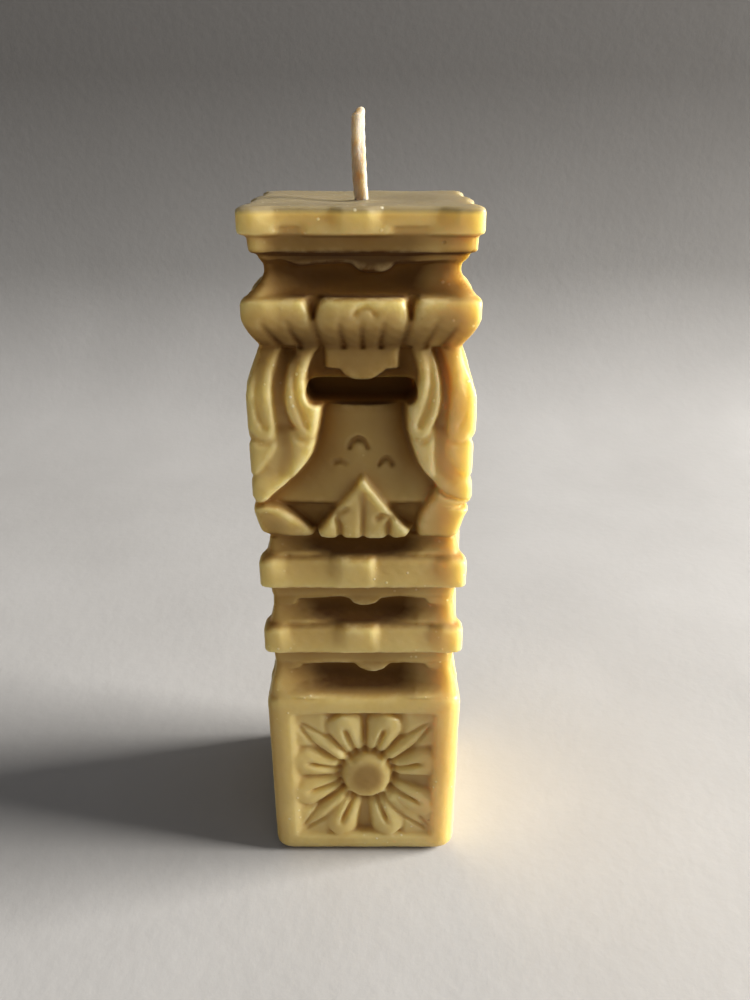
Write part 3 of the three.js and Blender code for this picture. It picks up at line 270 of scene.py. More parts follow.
# Grooves: half width, depth, and the shares of the depth at the start and at the end of the path
LOWER_VALLEY_CUT = (1.3, 0.75, 0.7, 0.3)
UPPER_VALLEY_CUT = (1.2, 1.1, 1.0, 0.3)
TONGUE_TIP_CUT = (0.7, 0.6, 1.0, 1.0)
CURLED_CUT = (0.75, 1.0, 0.6, 0.9)
CORNER_CUT = (0.8, 0.75, 0.5, 1.0)
LOTUS_SEAM_CUT = (0.8, 1.1, 1.0, 0.7)
LOTUS_PETAL_CUT = (0.6, 1.0, 0.15, 1.1)
LOTUS_ARCH_CUT = (0.45, 0.7, 1.0, 1.0)
LEAF_GROOVE_HALF, LEAF_GROOVE_START, LEAF_GROOVE_END = 0.7, 0.5, 1.3

# Corner rounding of the whole column, as (z, blend width) pairs
CORNER_SOFT = [(0, 4.6), (50, 4.0), (56, 2.4), (99, 2.0), (102, 1.8), (140, 1.8), (150, 1.7),
               (168, 1.7), (174, 1.7)]

# How much the left and the right edge of a face stand out from the mean silhouette, as (z, amount)
LEFT_LEAN = [(99.6, -0.8), (106, -0.8), (108.5, 0), (135, 0), (137, -0.3), (145, -0.3), (147, 0.2),
             (156, 0.6), (158.5, 1.3), (163, 1.3), (168.4, 0.9), (168.5, 0.1), (174, 0.1)]
RIGHT_LEAN = [(99.6, 0.9), (107, 0.7), (109, 0.3), (147, 0.5), (156, 0.3), (158.5, -0.3),
              (161, -0.6), (164.7, -0.8), (164.9, 0), (174, 0)]
LEAN_START, LEAN_FULL = 17.0, 22.0

# Unevenness of the cast, rounding of its ends, the dished top and the bore for the wick
WAVE_HEIGHT, RIPPLE_HEIGHT, TOP_WAVE_HEIGHT = 0.07, 0.045, 0.06
TOP_SOFT, FOOT_SOFT = 1.3, 4.0
DISH_RADIUS, DISH_EDGE, DISH_DEPTH = 20.0, 15.0, 0.75
MENISCUS_START, MENISCUS_RISE, MENISCUS_REACH = 1.3, 0.45, 0.9
BORE_RADIUS, BORE_THROAT, THROAT_START, THROAT_LENGTH = 1.7, 1.25, 168.0, 3.0

# What the wax's colours read. A vertex is proud where it stands out of the relief blurred over
# PROUD_BLUR, and creases below that blur get painted shade. A vertex is sunk where it lies deep
# below the block's sides, by a share that depends on z, and sunk is painted shade for the hollows.
# More painted shade is added by height and on faces that look up or down, and the boss is darkened.
# At the ends of the hollows above the plinth the painted shade fades, most at the +u end, as
# painted light.
PROUD_BLUR, PROUD_REACH = 2.2, 1.6
PAINTED_SHADE_START, PAINTED_SHADE_DEPTH = 25.0, 5.6
PAINTED_SHADE_SHARE = [(0, 0.45), (50, 0.45), (56, 1), (107, 1), (111, 0.78), (130, 0.78), (133, 1),
              (144.5, 1), (145.5, 1.15), (149.5, 1.0), (164, 1), (165, 1.6), (168.2, 1.6),
              (168.6, 1), (174, 1)]
# Painted shade added by height, on the lower lotus and under the top slab
SHADE_BY_HEIGHT = [(0, 0), (143, 0), (146, 0.08), (149, 0.28), (152, 0.26), (154.8, 0), (159.5, 0),
       (161.5, 0.17), (165, 0.17), (166, 0), (174, 0)]
BOSS_DIM, BOSS_DIM_OUT, BOSS_DIM_IN = 0.42, 2.4, 2.0
# Painted light: how much the painted shade fades at the +u and the -u end of the hollows
END_PAINTED_GLOW, END_GLOW_START, END_GLOW_FULL = 0.5, 8.5, 16.0
FAR_END_PAINTED_GLOW, FAR_GLOW_START, FAR_GLOW_FULL = 0.12, 10.0, 18.0
PLINTH_HEAD = (52, 56)
# Painted shade on faces that look up or down
UP_DOWN_SHADE_SHARE, UP_DOWN_SHADE_START = 0.35, 0.2
SIDE_HEAD, SIDE_FOOT = (1.0, 2.2), (0.2, 1.5)

# Wick: three waxed strands, plaited. Its hidden run needs only a coarse lattice.
WICK_CELL, WICK_HIDDEN_CELL, WICK_STEPS, WICK_GRID_SHIFT = 0.12, 1.2, 24, 0.5
WICK_LAP, WICK_CLEARANCE, WICK_SKIN = 0.8, 0.01, 1e-3
STRANDS, STRAND_RADIUS, STRAND_SOFT = 3, 0.92, 0.7
STRAND_SWELL, STRAND_SWELL_RATE = 0.05, 2.3
STRAND_ENDS, STRAND_GAP = (0.0, 0.75, 1.1), 0.05
PLAIT_WIDE, PLAIT_DEEP, PLAIT_PITCH, PLAIT_TURN, PLAIT_PHASE = 0.78, 0.28, 62.0, 0.5, 0.75
WICK_LEAN, WICK_BACK, WICK_LEAN_TURN = 0.85, 0.25, 2.5
WICK_FREE = 18.4

# Colours, as linear red, green, blue and alpha
HONEY, PALE_HONEY = (0.67, 0.495, 0.19, 1), (0.73, 0.57, 0.245, 1)
# Painted shade colours for the hollows, warm and deep, and for the creases, then the brown of small
# pits
WARM_PAINTED_SHADE, DEEP_PAINTED_SHADE = (0.50, 0.26, 0.045, 1), (0.075, 0.026, 0.002, 1)
CREASE_PAINTED_SHADE, PIT_BROWN = (0.44, 0.22, 0.035, 1), (0.42, 0.26, 0.09, 1)
BLOOM_PALE, CRUMB_PALE = (0.86, 0.70, 0.38, 1), (0.93, 0.84, 0.62, 1)
# Painted shade and a painted grey reflection for the poured top
TOP_SHADE_AND_REFLECTION = (0.25, 0.21, 0.15, 1)
COTTON_DARK, COTTON_PALE = (0.44, 0.375, 0.29, 1), (0.52, 0.48, 0.41, 1)
COTTON_WAXED = (0.52, 0.38, 0.21, 1)
PAPER_DARK, PAPER_PALE = (0.455, 0.445, 0.435, 1), (0.50, 0.49, 0.48, 1)
# Painted shade: the paper is painted darker up the wall
PAPER_PAINTED_SHADE = (0.20, 0.192, 0.184, 1)
# Where the painted shade of the top starts and is full, below the top
TOP_SHADE_START, TOP_SHADE_FULL = 1.6, 0.7

# Floor that turns up into a wall behind the candle
SWEEP_NEAR, SWEEP_HALF, SWEEP_HIGH = -900.0, 1200.0, 900.0
SWEEP_TURN_START, SWEEP_TURN_RADIUS, SWEEP_TURN_STEPS = 235.0, 110.0, 25

# Camera: place, dip below the level in degrees, and lens on a sensor of this height
CAMERA_PLACE = (2.93, -193.26, 187.05)
CAMERA_DIP, CAMERA_LENS, CAMERA_SENSOR = 24.46, 29.0, 36.0

# Places along the relief grid
side_steps = int((REACH + MARGIN) / CELL) + 1
rise_steps = int((TOP + 2 * MARGIN) / CELL) + 1
across = np.arange(-2 * side_steps, 2 * side_steps + 1) * STEP
upward = np.arange(0, 2 * rise_steps + 1) * STEP - MARGIN
U, Z = np.meshgrid(across, upward, indexing="ij")


def ramp(value, start, end):
    """0 at start and 1 at end, easing in and out; start may be the larger."""
    share = np.clip((value - start) / (end - start), 0, 1)
    return share * share * (3 - 2 * share)


def curve(value, pairs):
    """Reads a (place, amount) list at every value."""
    places, amounts = zip(*pairs)
    return np.interp(value, places, amounts)


def hump(distance, half):
    """1 at no distance, falling smoothly to 0 on both sides."""
    return np.exp(-((distance / half) ** 2))


def soft_max(a, b, width):
    """The larger of two values, with a fillet of the given width where they meet."""
    return np.maximum(a, b) + np.maximum(width - np.abs(a - b), 0) ** 2 / (4 * width)


def depth_inside(outline):
    """How far each place lies inside a closed outline; outside it the value is negative."""
    nearest = np.full(U.shape, np.inf)
    inside = np.zeros(U.shape, bool)
    for (u0, z0), (u1, z1) in zip(outline, outline[1:] + outline[:1]):
        du, dz = u1 - u0, z1 - z0
        share = np.clip(((U - u0) * du + (Z - z0) * dz) / (du * du + dz * dz), 0, 1)
        nearest = np.minimum(nearest, np.hypot(U - u0 - share * du, Z - z0 - share * dz))
        if z0 != z1:
            inside ^= ((z0 > Z) != (z1 > Z)) & (U < u0 + (Z - z0) * du / dz)
    return np.where(inside, nearest, -nearest)


def along(path):
    """Distance of each place from a path, and the share of the path passed at the nearest point."""
    lengths = [math.dist(a, b) for a, b in zip(path, path[1:])]
    nearest, passed, share_there = np.full(U.shape, np.inf), 0.0, np.zeros(U.shape)
    for (u0, z0), (u1, z1), length in zip(path, path[1:], lengths):
        share = np.clip(((U - u0) * (u1 - u0) + (Z - z0) * (z1 - z0)) / length ** 2, 0, 1)
        distance = np.hypot(U - u0 - share * (u1 - u0), Z - z0 - share * (z1 - z0))
        share_so_far = (passed + share * length) / sum(lengths)
        share_there = np.where(distance < nearest, share_so_far, share_there)
        nearest = np.minimum(nearest, distance)
        passed += length
    return nearest, share_there


def quarter_round(share, radius):
    """Drop of a rounded edge: its radius at share 0, nothing at share 1."""
    return radius * (1 - np.sqrt(1 - (1 - share) ** 2))


def rounded(inside, height, edge):
    """A raised plate whose rim is rounded over a width of edge, with steep sides."""
    crown = height - quarter_round(np.clip(inside / edge, 0, 1), edge)
    return np.where(inside > 0, crown, height - edge + inside * WALL_SLOPE)


def add_plate(relief, outline, height, edge):
    return soft_max(relief, rounded(depth_inside(outline), height, edge), SOFTNESS)


def add_groove(relief, path, half, depth, start=1.0, end=1.0):
    """Cuts a soft groove; start and end are the shares of its depth at its two ends."""
    distance, share = along(path)
    return relief - depth * (start + (end - start) * share) * hump(distance, half)


def band(relief, low, high, height):
    return np.where((Z >= low) & (Z < high), height, relief)


def mirrored(points):
    return [(-u, z) for u, z in points]


def blurred(values, spread):
    """Gaussian blur with a spread counted in grid steps."""
    reach = int(3 * spread) + 1
    kernel = np.exp(-0.5 * (np.arange(-reach, reach + 1) / spread) ** 2)
    kernel /= kernel.sum()
    for axis in (0, 1):
        widths = [(reach, reach) if a == axis else (0, 0) for a in (0, 1)]
        padded = np.pad(values, widths, mode="edge")
        count = values.shape[axis]
        values = sum(k * (padded[i:i + count] if axis == 0 else padded[:, i:i + count])
                     for i, k in enumerate(kernel))
    return values


def tiers():
    """Necks, fascias and slabs, before anything is laid on them."""
    relief = curve(Z, PLINTH_EDGE)
    for low, high, middle, corner, start, full in NECKS:
        post = ramp(np.abs(U), start, full)
        hollow = curve(Z, middle) + NECK_BOW * np.minimum(np.abs(U) / NECK_BOW_HALF, 1) ** 2
        relief = band(relief, low, high, hollow * (1 - post) + curve(Z, corner) * post)
    for low, high, height in FASCIAS:
        relief = band(relief, low, high, height - FASCIA_SLANT * ramp(Z, high, low))
    for low, high, face, hollow, deep, shallow in SLABS:
        foot = np.clip((Z - low) / SLAB_ROUND_FOOT, 0, 1)
        head = np.clip((high - Z) / SLAB_ROUND_TOP, 0, 1)
        rim = quarter_round(foot, SLAB_ROUND_FOOT)
        if high < TOP:
            rim = rim + quarter_round(head, SLAB_ROUND_TOP)
        depth = shallow + (deep - shallow) * ramp(Z, low + SLAB_HOLLOW_START, high)
        relief = band(relief, low, high, face - rim - curve(U, hollow) * depth)
    low_part = ramp(Z, SLAB_A + NOTCH_END, SLAB_A + NOTCH_FULL) * (Z > SLAB_A)
    for middle, half in TOP_NOTCHES:
        relief = relief - NOTCH_DEPTH * np.exp(-(((U - middle) / half) ** 6)) * low_part
    for height, outline in PENDANTS:
        relief = add_plate(relief, outline, height, PENDANT_EDGE)
    return relief


def panel_outside():
    """Distance of each place outside the panel's rounded outline; inside it is negative."""
    half_high = (PANEL_HEAD - PANEL_FOOT) / 2
    over_u = np.abs(U) - PANEL_HALF + PANEL_ROUND
    over_z = np.abs(Z - PANEL_FOOT - half_high) - half_high + PANEL_ROUND
    inner = np.minimum(np.maximum(over_u, over_z), 0)
    return np.hypot(np.maximum(over_u, 0), np.maximum(over_z, 0)) + inner - PANEL_ROUND


def along_ray(side, rise, degrees):
    """Distance along and off a ray that leaves the flower's middle at an angle."""
    turn = math.radians(degrees)
    forth = side * math.cos(turn) + rise * math.sin(turn)
    return forth, np.abs(rise * math.cos(turn) - side * math.sin(turn))


def boss_distance(u, z):
    """Distance from the boss's middle, with the boss taken as a slightly tall oval."""
    return np.hypot(u - FLOWER_U - BOSS_SHIFT, (z - FLOWER_Z) / BOSS_STRETCH)


def add_sepals(floor, side, rise):
    """Narrow sepals towards the corners, each in a groove that follows its edge."""
    for degrees in SEPAL_TURNS:
        forth, off = along_ray(side, rise, degrees)
        width = SEPAL_HALF * curve(forth, SEPAL_WIDTH)
        top = SEPAL_TOP - SEPAL_DROOP * ramp(forth, SEPAL_WIDE, SEPAL_TIP) - SEPAL_RIDGE * off
        plate = top - SEPAL_WALL * np.maximum(off - width, 0)
        rim = hump(off - width - SEPAL_GROOVE_HALF, SEPAL_GROOVE_HALF)
        rim = rim * ramp(forth, *SEPAL_GROOVE_START) * ramp(forth, *SEPAL_GROOVE_END)
        there = (forth > SEPAL_START - SEPAL_BEFORE) & (forth < SEPAL_TIP + SEPAL_BEYOND)
        floor = soft_max(floor - SEPAL_GROOVE * rim, np.where(there, plate, 0), SOFTNESS)
    return floor


def add_petals(floor, side, rise):
    """Round-ended petals, each cleft from its root to near its end."""
    for degrees, reach in PETALS:
        forth, off = along_ray(side, rise, degrees)
        share = (forth - PETAL_ROOT) / (reach - PETAL_ROOT)
        opening = np.clip(share / PETAL_BELLY, 0, 1) ** PETAL_WIDENING
        closing = np.clip((share - PETAL_BELLY) / (1 - PETAL_BELLY), 0, 1) ** PETAL_END
        opened = PETAL_ROOT_SHARE + (1 - PETAL_ROOT_SHARE) * opening
        width = PETAL_HALF * opened * np.sqrt(1 - closing)
        out = np.clip(off / np.maximum(width, PETAL_THIN), 0, 1)
        closed = ramp(share, CLEFT_CLOSING, CLEFT_END)
        cleft = 1 - CLEFT_DEPTH * (1 - closed) * hump(off, CLEFT_HALF)
        swell = PETAL_ROOT_RISE + PETAL_MORE_RISE * ramp(share, 0, PETAL_RISE_FULL)
        crown = PETAL_RISE * swell * np.sqrt(1 - out ** PETAL_CROWN) * cleft
        petal = np.where((share > 0) & (share < 1), PANEL_FLOOR + crown, 0)
        floor = soft_max(floor, petal, SOFTNESS)
    return floor


def add_boss(floor):
    """A bevelled boss with a groove round it and a slight dome."""
    ring = boss_distance(U, Z)
    off_groove = ring - BOSS_HALF - BOSS_BEVEL - BOSS_GROOVE_OUT
    floor = floor - BOSS_GROOVE * hump(off_groove, BOSS_GROOVE_HALF)
    boss = rounded(BOSS_HALF + BOSS_BEVEL - ring, BOSS_TOP, BOSS_BEVEL)
    return soft_max(floor, boss, SOFTNESS) + BOSS_DOME * hump(ring, BOSS_DOME_HALF)


def flower_panel(relief):
    """A sunk square panel with a flower of eight cleft petals round a flat boss."""
    outside = panel_outside()
    sunk = ramp(outside / (1 + LEFT_EASE * ramp(-U, LEFT_EASE_START, LEFT_EASE_FULL)),
                PANEL_LIP, -PANEL_SLOPE)
    level = PANEL_FLOOR + PANEL_RISE * ramp(np.abs(U), PANEL_RISE_START, PANEL_HALF)
    level = level + LEFT_RISE * ramp(-U, LEFT_RISE_START, PANEL_HALF)
    floor = relief * (1 - sunk) + level * sunk
    side, rise = U - FLOWER_U, (Z - FLOWER_Z) / FLOWER_STRETCH
    spandrel = np.minimum(np.abs(side), np.abs(rise)) - SPANDREL_START
    spandrel = SPANDREL_TOP + np.minimum(SPANDREL_SLOPE * (spandrel - SPANDREL_RUN), 0)
    floor = add_sepals(soft_max(floor, spandrel, SOFTNESS), side, rise)
    floor = add_boss(add_petals(floor, side, rise))
    return np.where(outside < 0, np.minimum(floor, relief), relief)


def niche_front():
    """The bell with its foot, crescents and pelmet."""
    across_bell = np.minimum(np.abs(U) / curve(Z, BELL_HALF), BELL_BEYOND)
    bell = curve(Z, BELL_MIDDLE) - curve(Z, BELL_DROP) * across_bell ** 2
    niche = np.where(Z > SLOT_LOW, WALL_HEIGHT, bell - LIP_DEPTH * hump(Z - BELL_FOOT, LIP_HALF))
    fall = BAND_FALL * np.maximum(np.abs(U) - BAND_FLAT, 0) ** BAND_POWER
    niche = np.where(Z < BELL_FOOT, curve(Z, BAND_EDGE) - fall, niche)
    niche = niche - CREASE_DEPTH * hump(Z - BELL_FOOT + CREASE_BELOW, CREASE_HALF)
    for depth, path in CRESCENTS:
        niche = add_groove(niche, path, CRESCENT_HALF, depth)
        middle_u, low_z = path[len(path) // 2][0], path[0][1]
        off_u, off_z = (U - middle_u) / SWELLING_WIDE, (Z - low_z + SWELLING_BELOW) / SWELLING_HIGH
        niche = niche + SWELLING * np.exp(-(off_u ** 2) - off_z ** 2)
    return add_plate(niche, PELMET, PELMET_HEIGHT, PELMET_ROUND)


def add_cloth(relief):
    """Cloth folds, tongues and feet on both sides of the niche."""
    envelope = curve(Z, FOLD_EDGE)
    under = FOLD_UNDER
    for start, end, depth in FOLD_STEPS:
        under = under + depth * ramp(Z, start, end)
    for outline in (FOLD_LEFT, FOLD_RIGHT):
        relief = add_plate(relief, outline, envelope - under, FOLD_ROUND)
    in_body = (Z >= BODY) & (Z < LOTUS)
    for valley, cut in ((LOWER_VALLEY, LOWER_VALLEY_CUT), (UPPER_VALLEY, UPPER_VALLEY_CUT)):
        for path in (valley, mirrored(valley)):
            relief = np.where(in_body, add_groove(relief, path, *cut), relief)
    for outline in (CORNER_FOLD_LEFT, CORNER_FOLD_RIGHT, MIDDLE_FOLD_LEFT, MIDDLE_FOLD_RIGHT):
        relief = add_plate(relief, outline, envelope - UPPER_FOLD_UNDER, UPPER_FOLD_ROUND)
    for path in TONGUE_TIPS:
        relief = add_groove(relief, path, *TONGUE_TIP_CUT)
    for outline in (CORNER_TONGUE_LEFT, mirrored(CORNER_TONGUE_LEFT),
                    CURLED_TONGUE_LEFT, CURLED_TONGUE_RIGHT):
        relief = add_plate(relief, outline, envelope + TONGUE_PROUD, TONGUE_ROUND)
    for path in (CURLED_GROOVE_LEFT, CURLED_GROOVE_RIGHT):
        relief = add_groove(relief, path, *CURLED_CUT)
    for path in (CORNER_GROOVE, mirrored(CORNER_GROOVE)):
        relief = add_groove(relief, path, *CORNER_CUT)
    for outline in (FOOT_LEFT, FOOT_RIGHT):
        relief = add_plate(relief, outline, envelope, FOOT_ROUND)
    return relief


def draped_body(relief):
    """The niche with its bell, and the cloth and the leaf in front of it."""
    relief = add_cloth(band(relief, BODY, LOTUS, niche_front()))
    leaf = rounded(depth_inside(LEAF), LEAF_TOP, LEAF_BEVEL)
    for rise, path in LEAF_RIBS:
        leaf = leaf + rise * hump(along(path)[0], LEAF_RIB_HALF)
    for depth, path in LEAF_GROOVES:
        leaf = add_groove(leaf, path, LEAF_GROOVE_HALF, depth, LEAF_GROOVE_START, LEAF_GROOVE_END)
    return soft_max(relief, np.where(Z < LOTUS, leaf, 0), SOFTNESS)


def lotus_ring(relief):
    """Lotus petals: one on each face, one round each corner, with seams and short grooves."""
    ring = curve(Z, LOTUS_EDGE)
    ring = ring - LOTUS_BOW * np.minimum(np.abs(U - LOTUS_MIDDLE) / LOTUS_BOW_HALF, 1) ** 2
    for path in LOTUS_SEAMS:
        ring = add_groove(ring, path, *LOTUS_SEAM_CUT)
    for path in LOTUS_GROOVES:
        ring = add_groove(ring, path, *LOTUS_PETAL_CUT)
    ring = add_groove(ring, LOTUS_ARCH, *LOTUS_ARCH_CUT)
    for outline in LOTUS_NOTCHES:
        ring = ring - LOTUS_NOTCH_DEPTH * ramp(depth_inside(outline), *LOTUS_NOTCH_EDGE)
    return band(relief, LOTUS, CROWN_NECK, ring)


def all_relief():
    """Relief of one whole face, leaned at its edges, kept inside the block and softened."""
    relief = flower_panel(tiers())
    relief = lotus_ring(draped_body(relief))
    lean_left = curve(Z, LEFT_LEAN) * ramp(U, -LEAN_START, -LEAN_FULL)
    lean_right = curve(Z, RIGHT_LEAN) * ramp(U, LEAN_START, LEAN_FULL)
    relief = np.minimum(relief + (lean_left + lean_right) * (Z > BODY), REACH)
    return blurred(relief, BLUR / STEP)


def surface_nets(field, xs, ys, zs):
    """Vertices and quads of the surface where the field is zero; it is negative inside."""
    solid = field < 0
    corners = [(i, j, k) for i in (0, 1) for j in (0, 1) for k in (0, 1)]
    size = [n - 1 for n in field.shape]

    def shifted(values, corner):
        return values[tuple(slice(c, c + n) for c, n in zip(corner, size))]

    count = sum(shifted(solid, c).astype(np.int8) for c in corners)
    cells = np.argwhere((count > 0) & (count < 8))
    values = [field[tuple((cells + c).T)] for c in corners]
    total, hits = np.zeros((len(cells), 3)), np.zeros(len(cells))
    for a, corner_a in enumerate(corners):
        for b, corner_b in enumerate(corners):
            if a < b and sum(p != q for p, q in zip(corner_a, corner_b)) == 1:
                crosses = (values[a] < 0) != (values[b] < 0)
                gap = np.where(crosses, values[a] - values[b], 1)
                share = np.where(crosses, values[a] / gap, 0)[:, None]
                point = np.array(corner_a) * (1 - share) + np.array(corner_b) * share
                total += point * crosses[:, None]
                hits += crosses
    offset = total / hits[:, None]
    place = [axis[cells[:, n]] + offset[:, n] * (axis[cells[:, n] + 1] - axis[cells[:, n]])
             for n, axis in enumerate((xs, ys, zs))]
    number = np.full(size, -1, np.int64)
    number[tuple(cells.T)] = np.arange(len(cells))

    quads = []
    for axis in range(3):
        first, second = [a for a in range(3) if a != axis]
        low = [slice(0, n) if a == axis else slice(1, n) for a, n in enumerate(size)]
        high = [slice(1, n + 1) if a == axis else slice(1, n) for a, n in enumerate(size)]
        flips = solid[tuple(low)] != solid[tuple(high)]
        at = np.argwhere(flips) + [0 if a == axis else 1 for a in range(3)]
        step_first, step_second = np.eye(3, dtype=int)[first], np.eye(3, dtype=int)[second]
        ring = [number[tuple((at - s).T)] for s in (
            step_first + step_second, step_second, np.zeros(3, int), step_first)]
        quad = np.stack(ring, 1)
        faces_up = solid[tuple(at.T)] != (axis == 1)
        quad[~faces_up] = quad[~faces_up][:, ::-1]
        quads.append(quad)
    return np.stack(place, 1), np.concatenate(quads)


def mesh_piece(name, vertices, quads, material):
    data = bpy.data.meshes.new(name)
    data.vertices.add(len(vertices))
    data.vertices.foreach_set("co", (vertices * MM).astype(np.float32).ravel())
    data.loops.add(quads.size)
    data.loops.foreach_set("vertex_index", quads.astype(np.int32).ravel())
    data.polygons.add(len(quads))
    data.polygons.foreach_set("loop_start", np.arange(len(quads), dtype=np.int32) * 4)
    data.update(calc_edges=True)
    data.shade_smooth()
    data.materials.append(material)
    piece = bpy.data.objects.new(name, data)
    bpy.context.scene.collection.objects.link(piece)
    return piece


def cast_waves(x, y, z):
    """Slow waves of the cast surface, about two centimetres long."""
    return WAVE_HEIGHT * np.sin(0.42 * x + 1.1) * np.sin(0.37 * y + 0.4) * np.sin(0.31 * z + 2.0)


def cast_ripples(x, y, z):
    """Finer ripples of the cast surface, a few millimetres long."""
    slanted = RIPPLE_HEIGHT * np.sin(1.9 * x + 1.3 * z) * np.sin(2.2 * y + 0.8 * z + 1.0)
    return slanted * np.sin(1.6 * z + 0.5)


def wax_field(heights):
    """The four carved faces met at rounded corners, with foot, dished top, slots and wick bore."""
    slope_u, slope_z = np.gradient(heights, STEP)
    steep = np.sqrt(1 + slope_u ** 2 + slope_z ** 2)[::2, ::2]
    heights = heights[::2, ::2]
    xs, zs = across[::2], upward[::2]
    x, y, z = xs[:, None, None], xs[None, :, None], zs[None, None, :]
    front_back = np.maximum((-y - heights[:, None, :]) / steep[:, None, :],
                            (y - heights[::-1, None, :]) / steep[::-1, None, :])
    sides = np.maximum((x - heights[None, :, :]) / steep[None, :, :],
                       (-x - heights[None, ::-1, :]) / steep[None, ::-1, :])
    field = soft_max(front_back, sides, curve(zs, CORNER_SOFT)[None, None, :])
    field = field + cast_waves(x, y, z)
    field = field + cast_ripples(x, y, z)

    half_slot = (SLOT_HIGH - SLOT_LOW) / 2
    near = slice(*np.searchsorted(zs, (SLOT_LOW - SLOT_MARGIN, SLOT_HIGH + SLOT_MARGIN)))
    height = zs[None, None, near] - (SLOT_LOW + SLOT_HIGH) / 2
    for out, side in ((-y, x), (y, x), (x, y), (-x, y)):
        end = np.maximum(np.abs(side) - SLOT_HALF + half_slot, 0)
        slot = soft_max(np.hypot(end, height) - half_slot, SLOT_BACK - out, SLOT_BACK_SOFT)
        field[:, :, near] = soft_max(field[:, :, near], -slot, SLOT_SOFT)

    radius = np.hypot(x, y)
    top = TOP - CLEARANCE - DISH_DEPTH * ramp(radius, DISH_RADIUS, DISH_RADIUS - DISH_EDGE)
    top = top + MENISCUS_RISE * np.exp(-np.maximum(radius - MENISCUS_START, 0) / MENISCUS_REACH)
    top = top + TOP_WAVE_HEIGHT * np.sin(0.35 * x + 0.5) * np.sin(0.29 * y + 1.9)
    field = soft_max(field, z - top, TOP_SOFT)
    field = soft_max(field, -z, FOOT_SOFT)
    throat = ramp(z, THROAT_START, THROAT_START + THROAT_LENGTH)
    bore = radius - BORE_RADIUS * (1 - throat) - BORE_THROAT * throat
    field = np.maximum(field, -bore)
    limit = np.maximum(np.abs(x), np.abs(y)) - REACH + CLEARANCE
    limit = np.maximum(limit, np.maximum(z - TOP, -z))
    return np.maximum(field, limit), xs, zs


def place_on_face(vertices):
    """Where each vertex lies across its own face, as u."""
    x, y = vertices[:, 0], vertices[:, 1]
    on_front_or_back = np.abs(y) >= np.abs(x)
    sign = np.where(on_front_or_back, -np.sign(y), np.sign(x))
    return np.where(on_front_or_back, x, y) * np.where(sign == 0, 1, sign)


def nearest_step(places, values):
    """Index of the relief grid's place nearest to each value."""
    return np.clip(np.rint((values - places[0]) / STEP).astype(int), 0, len(places) - 1)


def build_wax(material):
    heights = all_relief()
    field, xs, zs = wax_field(heights)
    vertices, quads = surface_nets(field, xs, xs, zs)
    piece = mesh_piece("wax", vertices, quads, material)
    reach = np.maximum(np.abs(vertices[:, 0]), np.abs(vertices[:, 1]))
    place, z = place_on_face(vertices), vertices[:, 2]
    wide = blurred(heights, PROUD_BLUR / STEP)[nearest_step(across, place), nearest_step(upward, z)]
    proud = np.clip((reach - wide) / PROUD_REACH, -1, 1)
    on_side = ramp(z, TOP - SIDE_HEAD[0], TOP - SIDE_HEAD[1]) * ramp(z, *SIDE_FOOT)
    above_plinth = ramp(z, *PLINTH_HEAD)
    normals = np.empty(3 * len(vertices))
    piece.data.vertex_normals.foreach_get("vector", normals)
    # Faces that look up or down get painted shade
    facing_up_down = ramp(np.abs(normals[2::3]), UP_DOWN_SHADE_START, 1)
    # Painted light: the painted shade fades at the ends of the hollows, most at the +u end
    end_glow = END_PAINTED_GLOW * ramp(place, END_GLOW_START, END_GLOW_FULL)
    end_glow = end_glow + FAR_END_PAINTED_GLOW * ramp(-place, FAR_GLOW_START, FAR_GLOW_FULL)
    # Painted shade for the hollows, by depth below the block's sides, weighted by height
    sunk = np.clip((PAINTED_SHADE_START - reach) / PAINTED_SHADE_DEPTH, 0, 1) * curve(z, PAINTED_SHADE_SHARE)
    # The painted glow lifts the shade at the ends, and painted shade is added by height
    sunk = sunk * (1 - end_glow * above_plinth) + curve(z, SHADE_BY_HEIGHT)
    on_boss = ramp(boss_distance(place, z), BOSS_HALF + BOSS_DIM_OUT, BOSS_HALF - BOSS_DIM_IN)
    sunk = sunk + BOSS_DIM * on_boss
    sunk = np.clip(sunk + UP_DOWN_SHADE_SHARE * facing_up_down * above_plinth, 0, 1) * on_side
    for name, values in (("proud", proud * on_side), ("sunk", sunk)):
        attribute = piece.data.attributes.new(name, "FLOAT", "POINT")
        attribute.data.foreach_set("value", values.astype(np.float32))
    return piece


